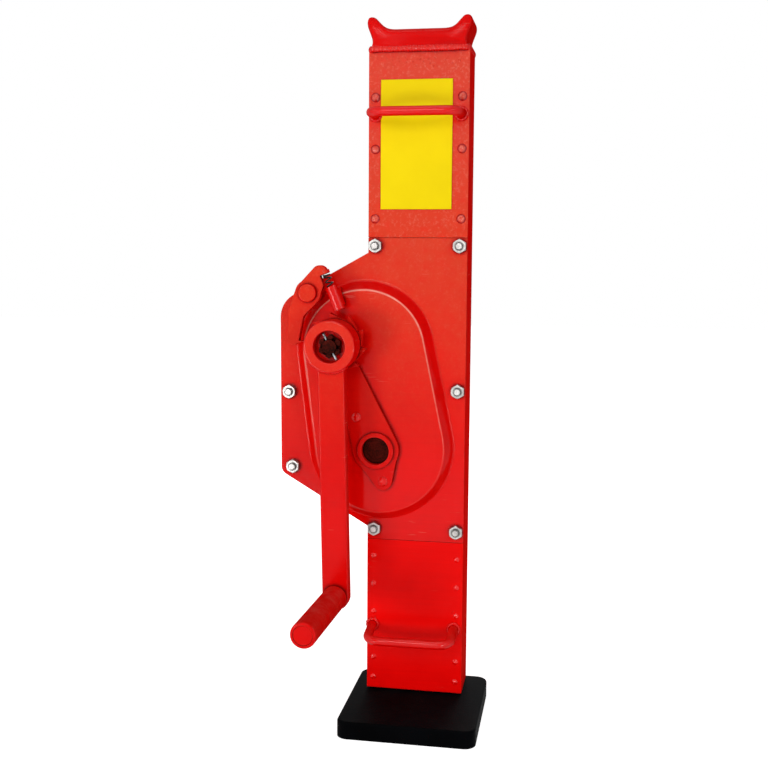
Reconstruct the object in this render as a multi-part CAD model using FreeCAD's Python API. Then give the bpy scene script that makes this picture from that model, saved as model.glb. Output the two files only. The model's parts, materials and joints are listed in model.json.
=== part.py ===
import FreeCAD, Part
import math
import os

# A steel rack and pinion jack. The toothed rack stands on the foot, and the housing with its horned head
# climbs the rack when the crank is turned. +X is to the right of the crank side, +Y goes to the back and
# +Z is up. The origin is on the floor under the middle of the housing. Millimetres and degrees.

V = FreeCAD.Vector

# Foot
foot_width = 142.0
foot_length = 148.0
foot_thickness = 18.0
foot_corner_radius = 12.0
foot_edge_radius = 2.5
foot_rear_step = 8.0
foot_shift_right = 4.0
foot_screw_radius = 5.0
foot_screw_head_radius = 9.5
foot_screw_head_height = 6.0
foot_screw_length = 45.0
foot_screw_hole_end = 46.0
foot_screw_pitch = 24.0
foot_screw_sink = 0.5

# Housing of folded and flat plates
body_width = 103.0
body_depth = 50.0
body_height = 673.5
foot_gap = 2.0
plate_thickness = 4.0
plate_seam = 0.4
rail_thickness = 3.0
rail_flange = 20.0

# Clearances
seat_clearance = 0.02
running_clearance = 0.06
guide_clearance = 0.3
side_clearance = 0.5

# Gear train: crank pinion, first wheel, second pinion, main wheel, rack pinion, rack
pressure_angle = 25.0
addendum = 0.8
dedendum = 1.05
tooth_thinning = 0.15
flank_points = 7
first_module = 2.5
crank_pinion_teeth = 10
first_wheel_teeth = 30
second_module = 3.0
second_pinion_teeth = 12
main_wheel_teeth = 36
rack_module = 6.0
rack_pinion_teeth = 6
rack_shift = 0.3
main_axis_x = -39.4
main_axis_rise = 264.8
second_stage_angle = 121.4
first_stage_angle = 92.5
first_wheel_width = 12.0
first_wheel_gap = 7.0
main_wheel_width = 11.0
main_wheel_gap = 1.5
pinion_overhang = 1.0
wheel_hub_radius = 20.0
wheel_web_recess = 2.5
wheel_rim = 9.0
key_width = 6.0
key_height = 6.0
key_sunk = 3.0

# Rack
rack_depth = 26.0
rack_web = 37.5
rack_rear_gap = 1.0
rack_head_gap = 11.5
rack_teeth_below_axis = 2
stop_height = 12.0
stop_below_top = 1.7
stop_reach = 11.0
stop_depth = 14.0
stop_screw_radius = 3.0
stop_screw_head_radius = 5.0
stop_screw_head_height = 3.0
stop_screw_socket_radius = 2.4
stop_screw_socket_depth = 2.0
stop_screw_length = 16.0

# Rack guides inside the housing
guide_height = 40.0
guide_rise = 4.0
thrust_guide_below = 60.0
thrust_guide_above = 33.0

# Gear case: the bulge on the left and its pressed cover
case_room = 29.6
case_top_above_crank = 93.3
case_dome_margin = 5.0
case_top_slope = 29.0
case_bottom_slope = 30.5
case_top_radius = 27.0
case_bottom_radius = 10.0
case_weld_lap = 8.0
cover_above_case = 15.3
cover_below_case = 13.7
dome_height = 13.0
dome_inset = 8.5
dome_wall = 3.5
dome_edge_radius = 3.5
dome_foot_radius = 3.0
dome_right_margin = 11.5
dome_upper_radius = 72.5
dome_lower_right = 2.4
dome_lower_up = 1.2
dome_upper_right = 25.1
dome_upper_down = 8.2

# Cover bolts with nuts
bolt_radius = 4.0
bolt_across_flats = 13.0
hexagon_turn = 30.0
bolt_head_height = 5.3
nut_height = 6.5
bolt_end_show = 2.5
bolt_edge = 7.8
bolt_left_edge = 10.0
bolt_left_lower_edge = 13.6
bolt_row_inset_top = 8.3
bolt_row_inset_bottom = 12.0
bolt_right_above_main = 62.2
bolt_left_upper_above_main = 57.5
spacer_wall_gap = 3.0
spacer_radius = 5.75

# Shafts and bushes
crank_shaft_radius = 10.0
crank_rear_radius = 9.0
crank_thread_radius = 7.0
middle_shaft_radius = 8.0
middle_wheel_seat_radius = 11.0
main_shaft_radius = 13.0
main_journal_radius = 10.0
bush_wall = 4.0
bush_flange_wall = 4.0
bush_flange_thickness = 3.0
main_hole_radius = 14.5
main_bush_recess = 8.0

# Bearing plate on the dome, with the collar of the main shaft
bearing_plate_thickness = 6.0
bearing_plate_radius = 24.0
bearing_nose_radius = 12.5
bearing_nose_distance = 84.0
bearing_ear_radius = 9.5
bearing_ear_right = 7.6
bearing_ear_down = 32.4
bearing_rivet_left = 20.8
bearing_rivet_up = 34.4
bearing_rivet_head_radius = 5.0
bearing_rivet_head_height = 2.2
bearing_rivet_radius = 3.0
collar_radius = 19.0
collar_height = 4.0
collar_edge = 1.2

# Crank with its load brake
crank_radius = 259.0
crank_rest_angle = 1.2
brake_flange_radius = 23.0
brake_flange_thickness = 3.5
friction_disc_radius = 23.0
friction_disc_thickness = 1.5
ratchet_teeth = 10
ratchet_tip_radius = 32.5
ratchet_root_radius = 26.5
ratchet_width = 9.0
ratchet_face_angle = 173.0
hub_radius = 26.3
hub_length = 29.0
hub_recess_radius = 16.2
hub_recess_depth = 12.0
hub_edge_radius = 2.0
arm_width = 28.0
arm_thickness = 12.0
arm_back_offset = 11.0
arm_edge_radius = 2.0
nut_across_flats = 21.0
castle_nut_height = 9.0
castle_slot_width = 3.8
castle_slot_depth = 4.0
shaft_end_sink = 1.0
split_pin_radius = 1.5
split_pin_end_gap = 1.5
split_pin_angle = -63.0
split_pin_eye_radius = 1.5
split_pin_wire_radius = 1.1

# Grip
grip_length = 117.0
grip_radius = 12.8
grip_spindle_radius = 8.0
grip_head_radius = 9.5
grip_head_height = 4.0
grip_edge_radius = 2.0
grip_end_gap = 0.5
grip_side_gap = 1.2
grip_tilt = 2.2

# Pawl, its pivot and its spring
pawl_pivot_left = 29.0
pawl_pivot_up = 52.2
pawl_thickness = 8.6
pawl_lobe_radius = 13.3
pawl_horn_right = 12.2
pawl_horn_up = 20.3
pawl_horn_root_radius = 12.8
pawl_horn_radius = 7.9
pawl_knee_left = 12.5
pawl_knee_down = 20.0
pawl_knee_radius = 8.3
pawl_heel_left = 15.5
pawl_heel_down = 48.0
pawl_heel_radius = 5.8
pawl_tip_angle = 175.0
pawl_tip_clearance = 0.6
pawl_claw_rise = 0.4
pivot_pin_radius = 5.0
pivot_boss_radius = 6.4
pivot_head_radius = 9.3
pivot_head_height = 4.0
spring_foot_right = 3.5
spring_foot_up = 35.6
spring_lean = 111.6
spring_length = 39.0
spring_tube_length = 25.0
spring_tube_radius = 6.0
spring_tube_wall = 1.4
spring_coil_radius = 3.5
spring_wire_radius = 0.8
spring_turns = 8
spring_pad_radius = 4.6
spring_pad_height = 3.5
spring_pocket_radius = 7.2
spring_pocket_below_mouth = 4.0
bracket_width = 9.5
bracket_length = 18.0

# Horned head
head_depth = 56.0
head_height = 32.8
seat_height = 20.8
seat_half_width = 30.0
seat_radius = 14.0
horn_reach = 53.6
horn_reach_height = 23.0
horn_side_radius = 10.0
horn_outer = 51.8
horn_inner = 43.2
horn_tip_radius = 4.2
head_base_half_width = 49.4
neck_half_width = 48.2
neck_height = 8.0
neck_radius = 14.0
head_edge_radius = 3.0

# Carry handles of bent round bar
handle_bar_radius = 4.75
handle_bend_radius = 13.0
handle_edge = 7.6
handle_stand_off = 38.0
upper_handle_below_top = 64.2
upper_handle_droop = 1.0
upper_handle_shift = -0.3
lower_handle_rise = 71.0
lower_handle_droop = 5.0
lower_handle_shift = -1.6

# Rivets and the bare yellow plate
rivet_edge = 7.0
upper_rivet_below_top = 47.0
upper_rivet_above_seam = 19.5
upper_rivet_middle_share = 0.33
lower_rivet_first_rise = 12.3
lower_rivet_second_rise = 34.5
lower_rivet_third_rise = 85.5
lower_rivet_fourth_rise = 116.3
lower_rivet_fifth_rise = 147.2
upper_rivet_head_radius = 4.8
upper_rivet_head_height = 2.6
lower_rivet_head_radius = 3.0
lower_rivet_head_height = 1.6
upper_rivet_radius = 3.0
lower_rivet_radius = 2.0
label_left_margin = 12.7
label_right_margin = 16.9
label_height = 130.0
label_thickness = 0.8
label_below_top = 29.5

# Places that follow from the sizes above
half_width = body_width / 2
front = -body_depth / 2
rear = body_depth / 2
front_inner = front + plate_thickness
rear_inner = rear - plate_thickness
housing_low = foot_thickness + foot_gap
housing_top = housing_low + body_height
rail_inner = half_width - rail_flange
web_inner = half_width - rail_thickness
handle_half_width = half_width - handle_edge


def polar(centre, radius, angle):
    """Point (x, z) at a distance and an angle, in degrees from +X towards +Z, from a centre."""
    turn = math.radians(angle)
    return centre[0] + radius * math.cos(turn), centre[1] + radius * math.sin(turn)


main_axis = (main_axis_x, housing_low + main_axis_rise)
first_distance = first_module * (crank_pinion_teeth + first_wheel_teeth) / 2
second_distance = second_module * (second_pinion_teeth + main_wheel_teeth) / 2
middle_axis = polar(main_axis, second_distance, second_stage_angle)
crank_axis = polar(middle_axis, first_distance, first_stage_angle)

dome_front = front - dome_height
dome_inner = dome_front + dome_wall
plate_face = dome_front - bearing_plate_thickness
rack_rear = rear_inner - rack_rear_gap
rack_front = rack_rear - rack_depth
rack_top = housing_top - rack_head_gap
rack_pitch = math.pi * rack_module
rack_line = main_axis[0] + rack_module * (rack_pinion_teeth / 2 + rack_shift)
rack_tip = rack_line - addendum * rack_module
rack_root = rack_line + dedendum * rack_module
rack_back = rack_root + rack_web

first_wheel_front = front_inner + first_wheel_gap
first_wheel_rear = first_wheel_front + first_wheel_width
main_wheel_front = dome_inner + main_wheel_gap
main_wheel_rear = main_wheel_front + main_wheel_width
first_wheel_tip = first_module * (first_wheel_teeth / 2 + addendum)

case_left = middle_axis[0] - first_wheel_tip - case_room
case_top = crank_axis[1] + case_top_above_crank
dome_lower = (main_axis[0] + dome_lower_right, main_axis[1] + dome_lower_up)
dome_upper = (crank_axis[0] + dome_upper_right, crank_axis[1] - dome_upper_down)
dome_lower_radius = half_width - dome_right_margin - dome_lower[0]


def case_floor(x):
    """Height of the bulge's slanted lower side at x, a margin away from the dome."""
    slope = math.radians(case_bottom_slope)
    rise = (dome_lower[0] - x) * math.tan(slope)
    return dome_lower[1] + rise - (dome_lower_radius + case_dome_margin) / math.cos(slope)


case_bottom = case_floor(-half_width)
cover_top = case_top + cover_above_case
cover_bottom = case_bottom - cover_below_case

# Depth stack of the crank, from the bearing plate towards the front
brake_rear = plate_face - side_clearance
brake_front = brake_rear - brake_flange_thickness
ratchet_rear = brake_front - friction_disc_thickness
ratchet_front = ratchet_rear - ratchet_width
hub_rear = ratchet_front - friction_disc_thickness
hub_front = hub_rear - hub_length
arm_rear = hub_rear - arm_back_offset
arm_front = arm_rear - arm_thickness
nut_seat = hub_front + hub_recess_depth
grip_axis = polar(crank_axis, crank_radius, crank_rest_angle - 90)

pawl_axis = (crank_axis[0] - pawl_pivot_left, crank_axis[1] + pawl_pivot_up)
pawl_rear = (ratchet_rear + ratchet_front + pawl_thickness) / 2
pawl_front = pawl_rear - pawl_thickness

parts = {}


def box(x0, x1, y0, y1, z0, z1):
    return Part.makeBox(x1 - x0, y1 - y0, z1 - z0, V(x0, y0, z0))


def rod(axis, radius, y0, y1):
    """Round bar along Y, from y0 to y1, around the axis (x, z)."""
    return Part.makeCylinder(radius, y1 - y0, V(axis[0], y0, axis[1]), V(0, 1, 0))


def ring(axis, outer, inner, y0, y1):
    return rod(axis, outer, y0, y1).cut(rod(axis, inner, y0, y1))


def joined(shapes):
    return shapes[0].multiFuse(shapes[1:]).removeSplitter()


def drilled(shape, axes, radius, y0, y1):
    return shape.cut(Part.makeCompound([rod(axis, radius, y0, y1) for axis in axes]))


def slab(wire, depth):
    return Part.Face(wire).extrude(V(0, depth, 0))


def hexagon(axis, across_flats, turn, y0, y1):
    corners = [polar(axis, across_flats / math.sqrt(3), turn + 60 * i) for i in range(6)]
    points = [V(x, y0, z) for x, z in corners]
    return slab(Part.makePolygon(points + points[:1]), y1 - y0)


def rounded_outline(corners, y):
    """Closed wire in the plane Y = y through corners (x, z, radius), each one rounded by its radius."""
    spots = [V(x, y, z) for x, z, _ in corners]
    runs = []
    for i, here in enumerate(spots):
        radius = corners[i][2]
        back = (spots[i - 1] - here).normalize()
        ahead = (spots[(i + 1) % len(spots)] - here).normalize()
        half = back.getAngle(ahead) / 2
        reach = radius / math.tan(half)
        middle = here + (back + ahead).normalize() * (radius / math.sin(half) - radius)
        runs.append((here + back * reach, middle, here + ahead * reach))
    edges = []
    for i, (start, middle, stop) in enumerate(runs):
        if corners[i][2] > 0:
            edges.append(Part.Arc(start, middle, stop).toShape())
        edges.append(Part.LineSegment(stop, runs[(i + 1) % len(runs)][0]).toShape())
    return Part.Wire(edges)


def tapered_outline(a, ra, b, rb, y):
    """Outline of a belt around two circles: two arcs and their two common tangents."""
    along = math.degrees(math.atan2(b[1] - a[1], b[0] - a[0]))
    lean = math.degrees(math.acos((ra - rb) / math.dist(a, b)))

    def at(centre, radius, angle):
        x, z = polar(centre, radius, angle)
        return V(x, y, z)

    up, down = along + lean, along - lean
    return Part.Wire([
        Part.Arc(at(a, ra, up), at(a, ra, along + 180), at(a, ra, down)).toShape(),
        Part.LineSegment(at(a, ra, down), at(b, rb, down)).toShape(),
        Part.Arc(at(b, rb, down), at(b, rb, along), at(b, rb, up)).toShape(),
        Part.LineSegment(at(b, rb, up), at(a, ra, up)).toShape(),
    ])


def link(a, ra, b, rb, y0, y1):
    return slab(tapered_outline(a, ra, b, rb, y0), y1 - y0)


def cap(axis, radius, height, y, out):
    """Round rivet head on the plane Y = y, bulging towards out (-1 front, 1 rear)."""
    sphere = (radius * radius + height * height) / (2 * height)
    low = math.degrees(math.asin((sphere - height) / sphere))
    centre = V(axis[0], y - out * (sphere - height), axis[1])
    return Part.makeSphere(sphere, centre, V(0, out, 0), low, 90, 360)


def involute_angle(ratio):
    """Polar angle, in degrees, of the involute where the radius is ratio times the base radius."""
    roll = math.sqrt(max(ratio * ratio - 1, 0))
    return math.degrees(roll - math.atan(roll))


def tip_radius(teeth, module, shift=0.0):
    return module * (teeth / 2 + addendum + shift)


def gear(axis, teeth, module, phase, y0, y1, shift=0.0):
    """Spur gear with involute flanks, a tooth centred at the phase angle, from y0 to y1."""
    pitch = module * teeth / 2
    lean = math.radians(pressure_angle)
    base = pitch * math.cos(lean)
    tip = tip_radius(teeth, module, shift)
    root = module * (teeth / 2 - dedendum + shift)
    start = max(base, root)
    thick = module * (math.pi / 2 + 2 * shift * math.tan(lean)) - tooth_thinning
    half_pitch = math.degrees(thick / (2 * pitch)) + involute_angle(pitch / base)

    def at(radius, angle):
        x, z = polar(axis, radius, angle)
        return V(x, y0, z)

    def half(radius):
        return half_pitch - involute_angle(radius / base)

    radii = [start + (tip - start) * i / (flank_points - 1) for i in range(flank_points)]
    step = 360.0 / teeth
    edges = []
    for i in range(teeth):
        middle = phase + i * step
        rise = [at(r, middle - half(r)) for r in radii]
        fall = [at(r, middle + half(r)) for r in reversed(radii)]
        low_side = at(root, middle - half(start))
        high_side = at(root, middle + half(start))
        next_low = at(root, middle + step - half(start))
        for points in (rise, fall):
            curve = Part.BSplineCurve()
            curve.interpolate(points)
            edges.append(curve.toShape())
        edges.append(Part.Arc(rise[-1], at(tip, middle), fall[0]).toShape())
        edges.append(Part.Arc(high_side, at(root, middle + step / 2), next_low).toShape())
        if start > root:
            edges.append(Part.LineSegment(low_side, rise[0]).toShape())
            edges.append(Part.LineSegment(fall[-1], high_side).toShape())
    return slab(Part.Wire(Part.__sortEdges__(edges)), y1 - y0)


def mesh_phase(a, b, teeth_a, phase_a, teeth_b):
    """Phase of gear b that puts its gap on the tooth of gear a at the line of centres."""
    along = math.degrees(math.atan2(b[1] - a[1], b[0] - a[0]))
    share = (along - phase_a) * teeth_a / 360
    return along + 180 - (0.5 - share) * 360 / teeth_b


def keyway(axis, shaft_radius, y0, y1):
    """Room of a square key, on the upper side of a shaft."""
    low = axis[1] + shaft_radius - key_sunk
    return box(axis[0] - key_width / 2, axis[0] + key_width / 2, y0, y1, low, low + key_height)


def wheel(axis, teeth, module, phase, shaft_radius, y0, y1):
    """Spur wheel with a recessed web on both sides, bored and grooved for its shaft and key."""
    rim = module * (teeth / 2 - dedendum) - wheel_rim
    recesses = [
        ring(axis, rim, wheel_hub_radius, y0, y0 + wheel_web_recess),
        ring(axis, rim, wheel_hub_radius, y1 - wheel_web_recess, y1),
    ]
    blank = gear(axis, teeth, module, phase, y0, y1)
    bore = rod(axis, shaft_radius + seat_clearance, y0, y1)
    return blank.cut(Part.makeCompound(recesses)).cut(bore).cut(keyway(axis, shaft_radius, y0, y1))


def bush(axis, inner, outer, y0, y1, flange=None):
    """Plain bush; flange gives the Y of the face that its collar stands on and the way it points."""
    solid = rod(axis, outer, y0, y1)
    if flange:
        y, way = flange
        low, high = sorted((y, y + way * bush_flange_thickness))
        solid = solid.fuse(rod(axis, outer + bush_flange_wall, low, high)).removeSplitter()
    bore = rod(axis, inner + running_clearance, y0 - bush_flange_thickness, y1 + bush_flange_thickness)
    return solid.cut(bore)


# Foot plate with its countersunk screws, and the rack with its end stop
foot_rear = rear + foot_rear_step
rack_middle = ((rack_tip + rack_back) / 2, (rack_front + rack_rear) / 2)
screw_spots = [(rack_middle[0] + side * foot_screw_pitch / 2, rack_middle[1]) for side in (-1, 1)]


def upright_rod(spot, radius, z0, z1):
    return Part.makeCylinder(radius, z1 - z0, V(spot[0], spot[1], z0), V(0, 0, 1))


def countersunk_screw(spot, extra):
    head_top = foot_screw_sink + foot_screw_head_height
    cone = Part.makeCone(
        foot_screw_head_radius + extra, foot_screw_radius + extra, foot_screw_head_height,
        V(spot[0], spot[1], foot_screw_sink), V(0, 0, 1))
    shank = upright_rod(spot, foot_screw_radius + extra, head_top, foot_screw_length + extra)
    return cone.fuse(shank).removeSplitter()


def make_foot():
    left = foot_shift_right - foot_width / 2
    plate = box(left, left + foot_width, foot_rear - foot_length, foot_rear, 0, foot_thickness)
    uprights = [e for e in plate.Edges if e.BoundBox.ZLength > foot_thickness / 2]
    plate = plate.makeFillet(foot_corner_radius, uprights)
    rim = [e for e in plate.Edges if e.BoundBox.ZMin > foot_thickness - foot_edge_radius]
    plate = plate.makeFillet(foot_edge_radius, rim)
    for spot in screw_spots:
        plate = plate.cut(countersunk_screw(spot, seat_clearance))
        plate = plate.cut(upright_rod(spot, foot_screw_head_radius + seat_clearance, 0, foot_screw_sink))
    return plate


stop_low = rack_top - stop_below_top - stop_height
stop_mid = (rack_front + rack_rear) / 2


def cross_rod(y, z, radius, x0, x1):
    return Part.makeCylinder(radius, x1 - x0, V(x0, y, z), V(1, 0, 0))


def make_rack():
    lean = math.tan(math.radians(pressure_angle))
    tip_half = rack_pitch / 4 - tooth_thinning / 2 - addendum * rack_module * lean
    root_half = rack_pitch / 4 - tooth_thinning / 2 + dedendum * rack_module * lean
    first = main_axis[1] + rack_pitch / 2 - rack_teeth_below_axis * rack_pitch
    count = int((rack_top - root_half - first) / rack_pitch) + 1
    points = [V(rack_tip, rack_front, foot_thickness)]
    points.append(V(rack_tip, rack_front, first - rack_pitch + tip_half))
    points.append(V(rack_root, rack_front, first - rack_pitch + root_half))
    for i in range(count):
        z = first + i * rack_pitch
        points.append(V(rack_root, rack_front, z - root_half))
        points.append(V(rack_tip, rack_front, z - tip_half))
        points.append(V(rack_tip, rack_front, z + tip_half))
        points.append(V(rack_root, rack_front, z + root_half))
    points.append(V(rack_root, rack_front, rack_top))
    points.append(V(rack_back, rack_front, rack_top))
    points.append(V(rack_back, rack_front, foot_thickness))
    bar = slab(Part.makePolygon(points + points[:1]), rack_depth)
    for spot in screw_spots:
        hole_radius = foot_screw_radius + seat_clearance
        bar = bar.cut(upright_rod(spot, hole_radius, foot_thickness, foot_screw_hole_end))
    depth = stop_screw_length - stop_reach
    middle = stop_low + stop_height / 2
    hole_radius = stop_screw_radius + seat_clearance
    return bar.cut(cross_rod(stop_mid, middle, hole_radius, rack_back - depth, rack_back))


def make_rack_stop():
    middle = stop_low + stop_height / 2
    seat = rack_back + stop_reach
    head_end = seat + stop_screw_head_height
    shank_end = seat - stop_screw_length + side_clearance
    dog = box(rack_back, seat, stop_mid - stop_depth / 2, stop_mid + stop_depth / 2,
              stop_low, stop_low + stop_height)
    hole_radius = stop_screw_radius + seat_clearance
    parts["rack_stop"] = dog.cut(cross_rod(stop_mid, middle, hole_radius, rack_back, seat))
    shank = cross_rod(stop_mid, middle, stop_screw_radius, shank_end, seat)
    head = cross_rod(stop_mid, middle, stop_screw_head_radius, seat, head_end)
    socket_end = head_end - stop_screw_socket_depth
    socket = cross_rod(stop_mid, middle, stop_screw_socket_radius, socket_end, head_end)
    parts["rack_stop_screw"] = shank.fuse(head).removeSplitter().cut(socket)


parts["foot_plate"] = make_foot()
parts["foot_screws"] = Part.makeCompound([countersunk_screw(spot, 0) for spot in screw_spots])
parts["rack"] = make_rack()
make_rack_stop()

# Where the bolts and rivets of the housing go
bolt_x = half_width - bolt_edge
rail_bolts = [
    (-bolt_x, cover_top - bolt_row_inset_top), (bolt_x, cover_top - bolt_row_inset_top),
    (bolt_x, main_axis[1] + bolt_right_above_main),
    (-bolt_x, cover_bottom + bolt_row_inset_bottom), (bolt_x, cover_bottom + bolt_row_inset_bottom),
]
lower_bolt_x = case_left + bolt_left_lower_edge
lower_bolt_gap = plate_thickness + spacer_wall_gap + spacer_radius
lower_bolt_rise = lower_bolt_gap / math.cos(math.radians(case_bottom_slope))
case_bolts = [
    (case_left + bolt_left_edge, main_axis[1] + bolt_left_upper_above_main),
    (lower_bolt_x, case_floor(lower_bolt_x) + lower_bolt_rise),
]
all_bolts = rail_bolts + case_bolts
rivet_x = half_width - rivet_edge
first_row = housing_top - upper_rivet_below_top
last_row = cover_top + upper_rivet_above_seam
upper_grip_row = housing_top - upper_handle_below_top
middle_row = upper_grip_row + upper_rivet_middle_share * (last_row - upper_grip_row)
upper_rows = [first_row, middle_row, last_row]
lower_rises = [lower_rivet_first_rise, lower_rivet_second_rise, lower_rivet_third_rise,
               lower_rivet_fourth_rise, lower_rivet_fifth_rise]
upper_rivets = [(side * rivet_x, row) for row in upper_rows for side in (-1, 1)]
lower_rivets = [(side * rivet_x, housing_low + rise) for rise in lower_rises for side in (-1, 1)]
bolt_hole = bolt_radius + seat_clearance


def riveted(shape, y0, y1):
    """Holes for every bolt and rivet that passes between y0 and y1."""
    shape = drilled(shape, all_bolts, bolt_hole, y0, y1)
    shape = drilled(shape, upper_rivets, upper_rivet_radius + seat_clearance, y0, y1)
    return drilled(shape, lower_rivets, lower_rivet_radius + seat_clearance, y0, y1)


def case_corners(inset):
    """Corners of the bulge, pulled in by an inset, running from the body's left edge and back to it."""
    top = math.radians(case_top_slope)
    bottom = math.radians(case_bottom_slope)
    left = case_left + inset
    top_start = case_top - inset / math.cos(top)
    bottom_start = case_bottom + inset / math.cos(bottom)
    run = -half_width - left
    return [
        (-half_width, top_start, 0), (left, top_start - run * math.tan(top), case_top_radius - inset),
        (left, bottom_start + run * math.tan(bottom), case_bottom_radius - inset),
        (-half_width, bottom_start, 0),
    ]


def body_outline(low, high, y):
    """Outline of the body between two heights with the bulge on its left side."""
    corners = [(half_width, low, 0), (half_width, high, 0), (-half_width, high, 0)]
    return rounded_outline(corners + case_corners(0) + [(-half_width, low, 0)], y)


def dome_solid(shrink, y_base, y_top, depth):
    """Drafted mound between two planes; shrink pulls its walls in, depth is its height for the draft."""
    draft = dome_inset * depth / dome_height
    wires = []
    for y, inset in ((y_base, shrink), (y_top, shrink + draft)):
        wires.append(tapered_outline(
            dome_lower, dome_lower_radius - inset, dome_upper, dome_upper_radius - inset, y))
    return Part.makeLoft(wires, True, True)


def dome_mound():
    """The outer shape of the pressed dome, solid, with its rounded crown."""
    mound = dome_solid(0, front, dome_front, dome_height)
    crown = [e for e in mound.Edges if e.BoundBox.YMax < dome_front + seat_clearance]
    return mound.makeFillet(dome_edge_radius, crown)


def make_gear_cover():
    plate = slab(body_outline(cover_bottom, cover_top, front), plate_thickness)
    cover = plate.fuse(dome_mound()).removeSplitter()
    line = tapered_outline(dome_lower, dome_lower_radius, dome_upper, dome_upper_radius, front)
    flat = [e for e in cover.Edges if e.BoundBox.YLength < seat_clearance and e.BoundBox.YMax < front_inner]
    foot = [e for e in flat if max(line.distToShape(v)[0] for v in e.Vertexes) < seat_clearance]
    cover = cover.makeFillet(dome_foot_radius, foot)
    wall = dome_wall * math.hypot(dome_height, dome_inset) / dome_height
    draft = dome_inset / dome_height
    hollow = dome_solid(wall - dome_wall * draft, front_inner, dome_inner, front_inner - dome_inner)
    cover = cover.cut(hollow)
    cover = cover.cut(rod(crank_axis, crank_bush_outer + seat_clearance, dome_front, dome_inner))
    cover = cover.cut(rod(middle_axis, middle_bush_outer + seat_clearance, dome_front, dome_inner))
    cover = cover.cut(rod(main_axis, main_hole_radius + seat_clearance, dome_front, dome_inner))
    rivet_hole = bearing_rivet_radius + seat_clearance
    cover = drilled(cover, bearing_rivet_spots, rivet_hole, dome_front, dome_inner)
    cover = cover.cut(rod(pawl_axis, pivot_pin_radius + seat_clearance, front, front_inner))
    return drilled(cover, all_bolts, bolt_hole, front, front_inner)


def rail(side, low, high):
    """Folded channel along one edge of the body, open towards the rack."""
    outer = sorted((side * half_width, side * rail_inner))
    inner = sorted((side * web_inner, side * rail_inner))
    channel = box(outer[0], outer[1], front_inner, rear_inner, low, high)
    room = box(inner[0], inner[1], front_inner + rail_thickness, rear_inner - rail_thickness, low, high)
    return riveted(channel.cut(room), front_inner, rear_inner)


def make_case_wall():
    depth = rear_inner - front_inner
    outer = rounded_outline(case_corners(0), front_inner)
    inside = case_corners(plate_thickness)
    reach = case_corners(0)[0][0] + plate_thickness
    inner = [(reach, inside[0][1], 0)] + inside[1:3] + [(reach, inside[3][1], 0)]
    return slab(outer, depth).cut(slab(rounded_outline(slanted(inner), front_inner), depth))


def slanted(corners):
    """The inner corners of the bulge with both slanted sides carried on past the body's edge."""
    first, second, third, last = corners
    rise = (first[0] + half_width) * math.tan(math.radians(case_top_slope))
    fall = (last[0] + half_width) * math.tan(math.radians(case_bottom_slope))
    return [(first[0], first[1] + rise, 0), second, third, (last[0], last[1] - fall, 0)]


crank_bush_outer = crank_shaft_radius + bush_wall
middle_bush_outer = middle_shaft_radius + bush_wall
bearing_rivet_spots = [
    (main_axis[0] + bearing_ear_right, main_axis[1] - bearing_ear_down),
    (main_axis[0] - bearing_rivet_left, main_axis[1] + bearing_rivet_up),
]
rear_shafts = {
    "crank": (crank_axis, crank_rear_radius), "middle": (middle_axis, middle_shaft_radius),
    "main": (main_axis, main_journal_radius),
}


def make_back_plate():
    plate = slab(body_outline(housing_low, housing_top, rear_inner), plate_thickness)
    for axis, radius in rear_shafts.values():
        plate = plate.cut(rod(axis, radius + bush_wall + seat_clearance, rear_inner, rear))
    return riveted(plate, rear_inner, rear)


def front_panel(low, high):
    return riveted(box(-half_width, half_width, front, front_inner, low, high), front, front_inner)


parts["gear_cover"] = make_gear_cover()
parts["upper_front_plate"] = front_panel(cover_top + plate_seam, housing_top)
parts["lower_front_plate"] = front_panel(housing_low, cover_bottom - plate_seam)
parts["back_plate"] = make_back_plate()
parts["right_rail"] = rail(1, housing_low, housing_top)
parts["left_upper_rail"] = rail(-1, case_top - case_weld_lap, housing_top)
parts["left_lower_rail"] = rail(-1, housing_low, case_bottom + case_weld_lap)
parts["gear_case_wall"] = make_case_wall()


def make_guides():
    inside = web_inner - seat_clearance
    front_wall = front_inner + rail_thickness + seat_clearance
    rear_wall = rear_inner - rail_thickness - seat_clearance
    low = housing_low + guide_rise
    block = box(-inside, inside, front_wall, rear_wall, low, low + guide_height)
    slot = box(rack_tip - guide_clearance, rack_back + guide_clearance, rack_front - guide_clearance,
               rear_wall, low, low + guide_height)
    parts["lower_guide"] = block.cut(slot)
    parts["thrust_guide"] = drilled(
        box(rack_back + guide_clearance, inside, rack_front, rear_wall,
            main_axis[1] - thrust_guide_below, main_axis[1] + thrust_guide_above),
        rail_bolts, bolt_hole, rack_front, rear_wall)


def rivet(axis, radius, head_radius, head_height, y_face, y_inner):
    """Rivet with a round head on y_face and a shank that ends on y_inner."""
    out = 1 if y_face > y_inner else -1
    low, high = sorted((y_face, y_inner))
    head = cap(axis, head_radius, head_height, y_face, out)
    return head.fuse(rod(axis, radius, low, high)).removeSplitter()


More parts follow.
